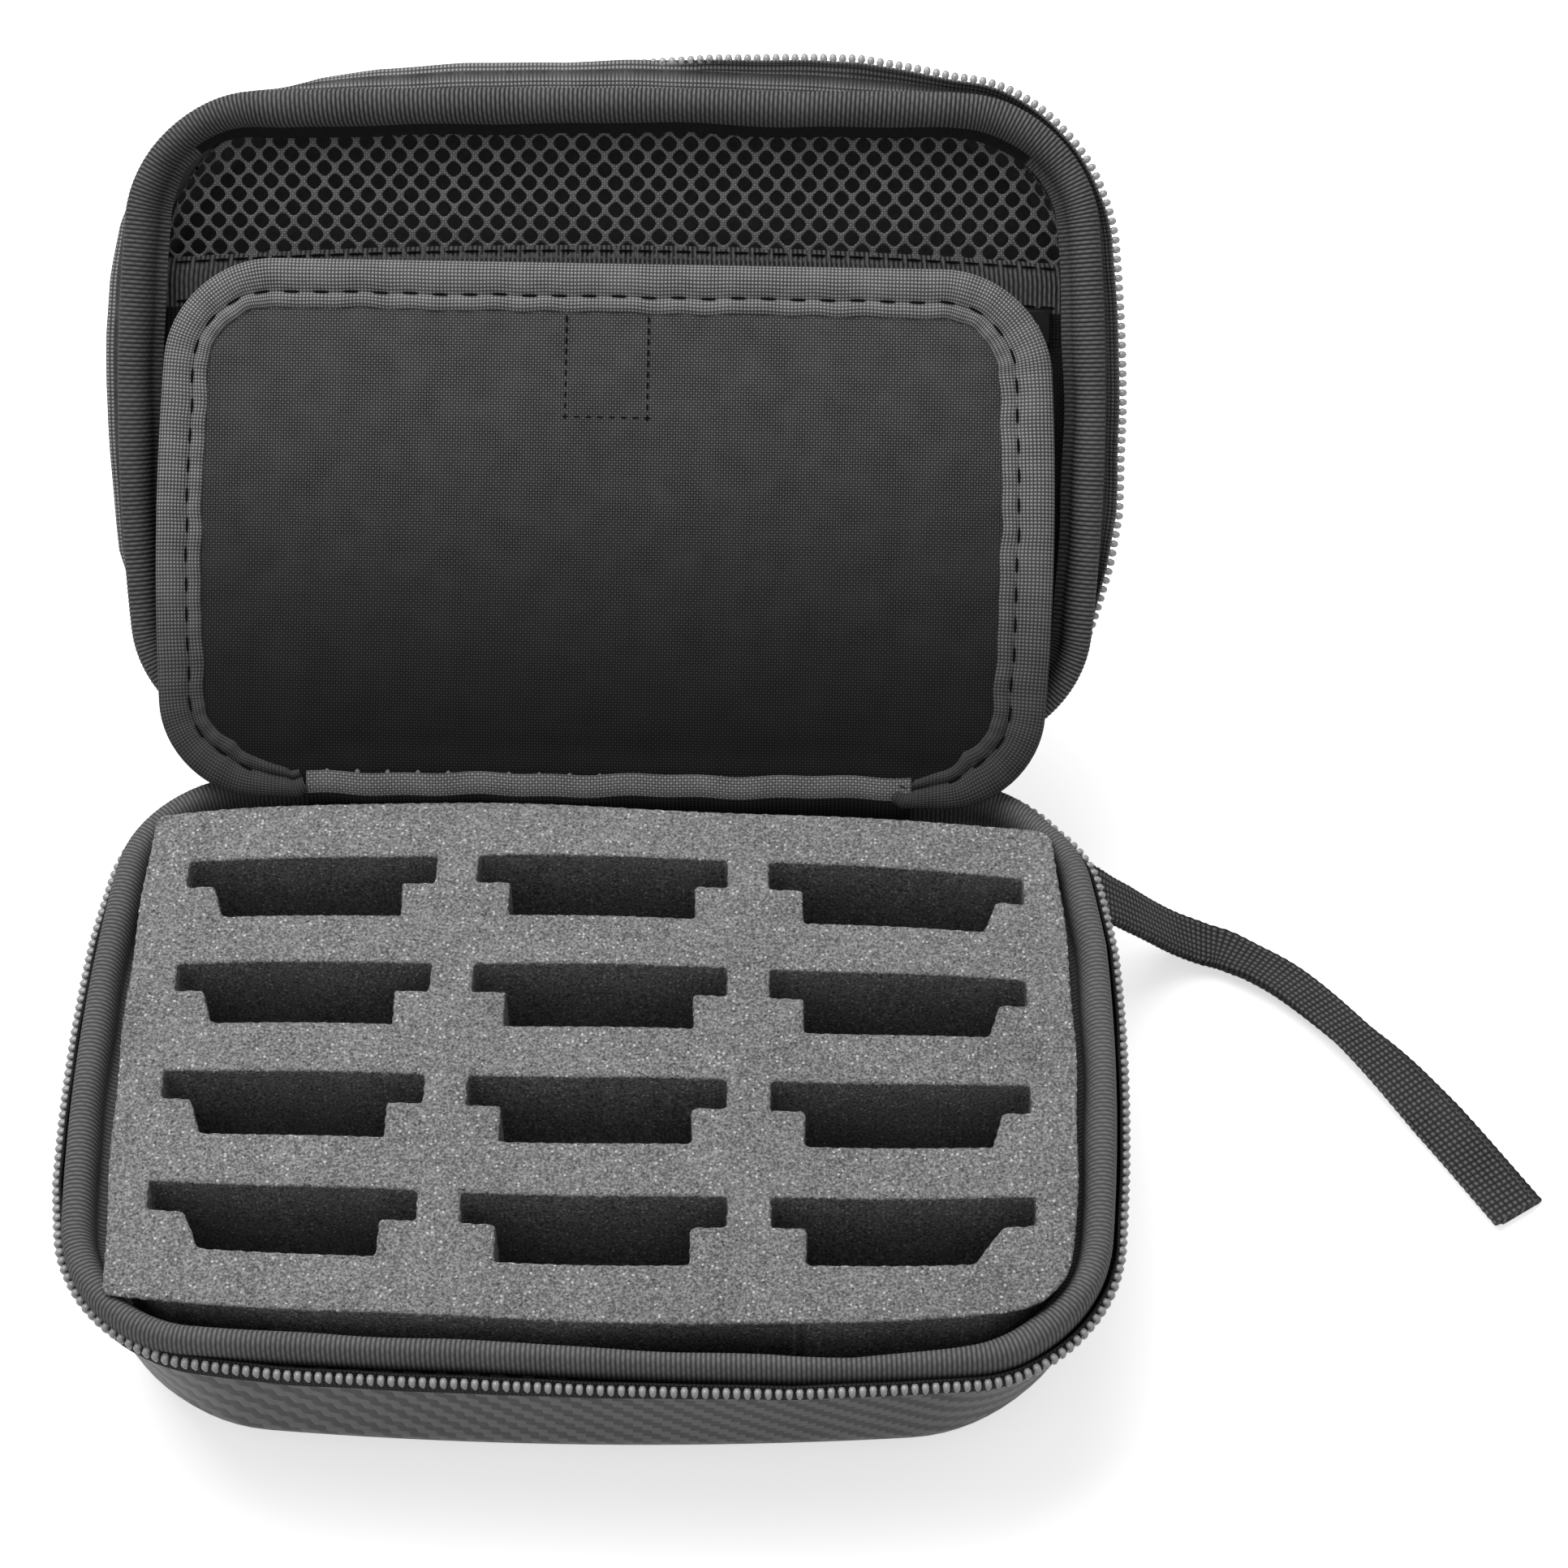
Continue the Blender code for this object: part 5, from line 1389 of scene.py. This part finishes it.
def net_tile():
    """Diamond of the net's lattice, and the round-cornered gap in it."""
    reach = np.array(((NET_CELL[0] / 2, 0.0), (0.0, NET_CELL[1])))
    tips = [reach[0], reach[1], -reach[0], -reach[1]]
    edge = np.vstack([run(first, last, 3) if k else [first] for first, last in zip(tips, tips[1:] + tips[:1])
                      for k in (0, 1)])
    angle = np.arctan2(edge[:, 1] / NET_GAP[1], edge[:, 0] / NET_GAP[0])
    size = (np.abs(np.cos(angle)) ** NET_ROUND + np.abs(np.sin(angle)) ** NET_ROUND) ** (-1 / NET_ROUND) / 2
    return edge, np.column_stack([np.cos(angle) * NET_GAP[0], np.sin(angle) * NET_GAP[1]]) * size[:, None]


def pocket_net():
    """Knitted net, sewn in under the rim's roll and drawn down to the pocket's band."""
    step_x, step_y = NET_CELL
    edge, hole = net_tile()
    sewn = rim(*inside_at(NET_SEAM_DEPTH, LID_HEIGHT, GAP))
    front = sewn[:, 1].min()
    work = bmesh.new()
    rows = int((NET_REAR - front) / step_y) + 4
    columns = int(HALF_WIDTH / step_x) + 2

    def settle(points):
        """Keeps points inside the seam and in front of the band, and gives them their depth."""
        limit = pocket_line(NET_REAR, points[:, 0])
        placed = np.column_stack([points[:, 0], np.minimum(points[:, 1], limit + NET_TUCK)])
        up = (np.clip((limit - placed[:, 1]) / (limit - front), 0.0, 1.0) ** 0.8)[:, None]
        placed = drawn_in(placed, POCKET * NET_INSIDE) * (1 - up) + drawn_in(placed, sewn * NET_INSIDE) * up
        depth = POCKET_DEPTH + (NET_SEAM_DEPTH - POCKET_DEPTH) * up[:, 0]
        return np.column_stack([placed, RIM_Z + depth])

    for row in range(rows):
        y = front + row * step_y
        for column in range(-columns, columns + 1):
            x = (column + 0.5 * (row % 2)) * step_x
            centre = np.array((x, y))
            line = pocket_line(NET_REAR, x) + NET_TUCK
            if not within(edge + centre, sewn).any() or y - step_y > line:
                continue
            outer = [work.verts.new(point) for point in settle(edge + centre)]
            if within(hole * 0.3 + centre, sewn).all() and y < line - NET_GAP[1] / 2:
                inner = [work.verts.new(point) for point in settle(hole + centre)]
                for index in range(len(outer)):
                    after = (index + 1) % len(outer)
                    work.faces.new((outer[index], outer[after], inner[after], inner[index]))
            else:
                work.faces.new(outer)
    bmesh.ops.remove_doubles(work, verts=work.verts, dist=NET_WELD)
    bmesh.ops.dissolve_degenerate(work, dist=NET_WELD, edges=work.edges)
    bmesh.ops.recalc_face_normals(work, faces=work.faces)
    mesh = bpy.data.meshes.new("pocket_knitted_net")
    work.to_mesh(mesh)
    work.free()
    mesh.uv_layers.new(name="cloth")
    flat_cloth(mesh)
    mesh.materials.append(FINISH["net"])
    holder = linked(mesh.name, mesh)
    thick = holder.modifiers.new("thickness", "SOLIDIFY")
    thick.thickness = NET_STRAND
    thick.offset = 0.0
    soft = holder.modifiers.new("soft", "SUBSURF")
    soft.levels = 1
    soft.render_levels = 1
    made = tidy_mesh(evaluated(holder, "pocket_knitted_net"), 80.0)
    net = piece(made, "lid", "net", "pocket_net")


# Metal
def softened(node, body):
    """Metal piece from its solid, with rounded edges; the pocket's slider is dark but for the top of its
    loop.
    """
    mesh = frame["nodes"][node].data.copy()
    mesh.name = node + "_plated"
    mesh.materials.clear()
    mesh.materials.append(FINISH["metal"])
    holder = linked(mesh.name, mesh)
    weld = holder.modifiers.new("weld", "WELD")
    weld.merge_threshold = 0.00002
    edge = holder.modifiers.new("edge", "BEVEL")
    edge.width = METAL_EDGE
    edge.segments = 3
    edge.limit_method = "ANGLE"
    edge.angle_limit = math.radians(25)
    made = tidy_mesh(evaluated(holder, node + "_plated"), 50.0)
    if body == "pocket_slider":
        closed = LID_SEAT.inverted()
        lowest = min((closed @ vertex.co).z for vertex in made.vertices)
        made.materials.append(FINISH["dark_metal"])
        for face in made.polygons:
            face.material_index = 0 if (closed @ face.center).z < lowest + BAIL_SHINE else 1
    metal = linked(made.name, made)
    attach(metal, body)
    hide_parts(node)


def metal_pieces():
    """Sliders and pulls; the outer sliders stay on the base, and the others are bodies of their own."""
    for node in ("zip_slider_left", "zip_slider_right"):
        softened(node, "base")
    for node in ("pocket_slider", "zip_pull_left", "zip_pull_right", "pocket_pull"):
        softened(node, node)


# Wrist strap
def smooth_route(points, steps):
    """Points of a smooth curve through a route, with its ends."""
    places = np.array(points)
    padded = np.vstack([2 * places[0] - places[1], places, 2 * places[-1] - places[-2]])
    made = []
    for index in range(1, len(padded) - 2):
        before, start, end, after = padded[index - 1:index + 3]
        for t in np.arange(steps) / steps:
            bend = (2 * before - 5 * start + 4 * end - after) * t ** 2
            twist = (3 * start - before - 3 * end + after) * t ** 3
            made.append(0.5 * (2 * start + (end - before) * t + bend + twist))
    return np.array(made + [places[-1]])


def wrist_strap():
    """Doubled webbing from the right rear corner to the floor, folded over at its end."""
    route = smooth_route(STRAP_ROUTE, 50)
    at = lengths(route)
    heading = np.gradient(route, axis=0)
    across = np.column_stack([heading[:, 1], -heading[:, 0], np.zeros(len(route))])
    across /= np.linalg.norm(across, axis=1)[:, None]
    up = np.cross(across, heading)
    up /= np.linalg.norm(up, axis=1)[:, None]
    up *= np.sign(up[:, 2])[:, None]
    turn = np.interp(at / at[-1], *STRAP_TURNS)[:, None]
    across, up = across * np.cos(turn) - up * np.sin(turn), up * np.cos(turn) + across * np.sin(turn)
    half, thick = STRAP_LAYER_WIDTH / 2, STRAP_THICKNESS / 2
    bevel, drop = STRAP_BEVEL
    groove, gape = STRAP_GROOVE
    shoulder, flank = half - bevel, thick - drop
    section = np.array([
        (-half, gape), (-half, flank), (-shoulder, thick), (-half * 0.5, thick), (0.0, thick),
        (half * 0.5, thick), (shoulder, thick), (half, flank), (half, gape), (half - groove, 0.0),
        (half, -gape), (half, -flank), (shoulder, -thick), (0.0, -thick), (-shoulder, -thick),
        (-half, -flank), (-half, -gape), (groove - half, 0.0),
    ])
    scallop = STRAP_SCALLOP[0] * np.sin(2 * np.pi * at / STRAP_SCALLOP[1])[:, None]
    edges = np.where(np.abs(section[:, 0]) > half * 0.9, np.sign(section[:, 0]), 0.0)
    share = np.clip((at / at[-1] - STRAP_SLIPS[0]) / STRAP_SLIPS[1], 0.0, 1.0)[:, None]
    slip = STRAP_SLIP * share * share * (3 - 2 * share) * (section[:, 1] < -0.0001)
    wide = section[:, 0] + edges * scallop - slip
    points = route[:, None] + across[:, None] * wide[:, :, None] + up[:, None] * section[None, :, 1, None]
    around = closed_lengths(section)
    mesh = skin("wrist_webbing", points, np.append(at, at[-1]), around, FINISH["webbing"], 50.0)
    strap = piece(mesh, "base", "webbing", "wrist_strap")


# Stage
def studio():
    """White floor that keeps the case's shadow, soft light from above and behind, and the camera."""
    made, tree, shader = start_finish("white_floor", 0.9, specular=0.0)
    shader.inputs["Base Color"].default_value = grey(248)
    path = tree.nodes.new("ShaderNodeLightPath")
    seen = calc(tree, "MAXIMUM", path.outputs["Is Camera Ray"],
                calc(tree, "MAXIMUM", path.outputs["Is Glossy Ray"], path.outputs["Is Transmission Ray"]))
    shader.inputs["Emission Color"].default_value = (1.0, 1.0, 1.0, 1.0)
    plug(tree, calc(tree, "MULTIPLY", seen, 0.60), shader.inputs["Emission Strength"])
    mesh = bpy.data.meshes.new("floor")
    corners = [(FLOOR_HALF * x, FLOOR_HALF * y, 0.0) for x, y in ((-1, -1), (1, -1), (1, 1), (-1, 1))]
    mesh.from_pydata(corners, [], [(0, 1, 2, 3)])
    mesh.materials.append(made)
    linked("floor", mesh)
    scene = bpy.context.scene
    world = bpy.data.worlds.new("soft_room")
    world.use_nodes = True
    scene.world = world
    tree = world.node_tree
    sky = tree.nodes["Background"]
    sky.inputs["Color"].default_value = (1.0, 1.0, 1.0, 1.0)
    path = tree.nodes.new("ShaderNodeLightPath")
    seen = calc(tree, "MAXIMUM", path.outputs["Is Camera Ray"], path.outputs["Is Transmission Ray"])
    plug(tree, ramp(tree, seen, 0.0, 1.0, 0.40, 1.0), sky.inputs["Strength"])
    lamp = bpy.data.lights.new("top_soft_box", "AREA")
    lamp.shape = "SQUARE"
    lamp.size = LAMP_WIDTH
    lamp.energy = LAMP_POWER
    holder = linked("top_soft_box", lamp)
    holder.location = LAMP_PLACE
    holder.rotation_euler = (LAMP_AIM - LAMP_PLACE).to_track_quat("-Z", "Y").to_euler()
    camera = bpy.data.cameras.new("camera")
    camera.lens = LENS
    camera.sensor_width = 36.0
    camera.clip_start = 0.01
    back = CAMERA_RIGHT.cross(CAMERA_UP)
    turn = Matrix((CAMERA_RIGHT, CAMERA_UP, back)).transposed().to_4x4()
    holder = linked("camera", camera)
    holder.matrix_world = Matrix.Translation(CAMERA_PLACE) @ turn
    scene.camera = holder
    scene.view_settings.view_transform = "Standard"


studio()
wrist_strap()
case_halves()
for half_name, half_side in (("base", -1), ("lid", 1)):
    rim_binding(half_name, half_side)
    zip_tape(half_name, half_side)
    zip_teeth(half_name, half_side)
hinge_cloth()
foam_insert()
foam_floor_pad()
flap_panel()
flap_binding()
patches()
hinge_strip()
pocket_cloth()
pocket_net()
metal_pieces()
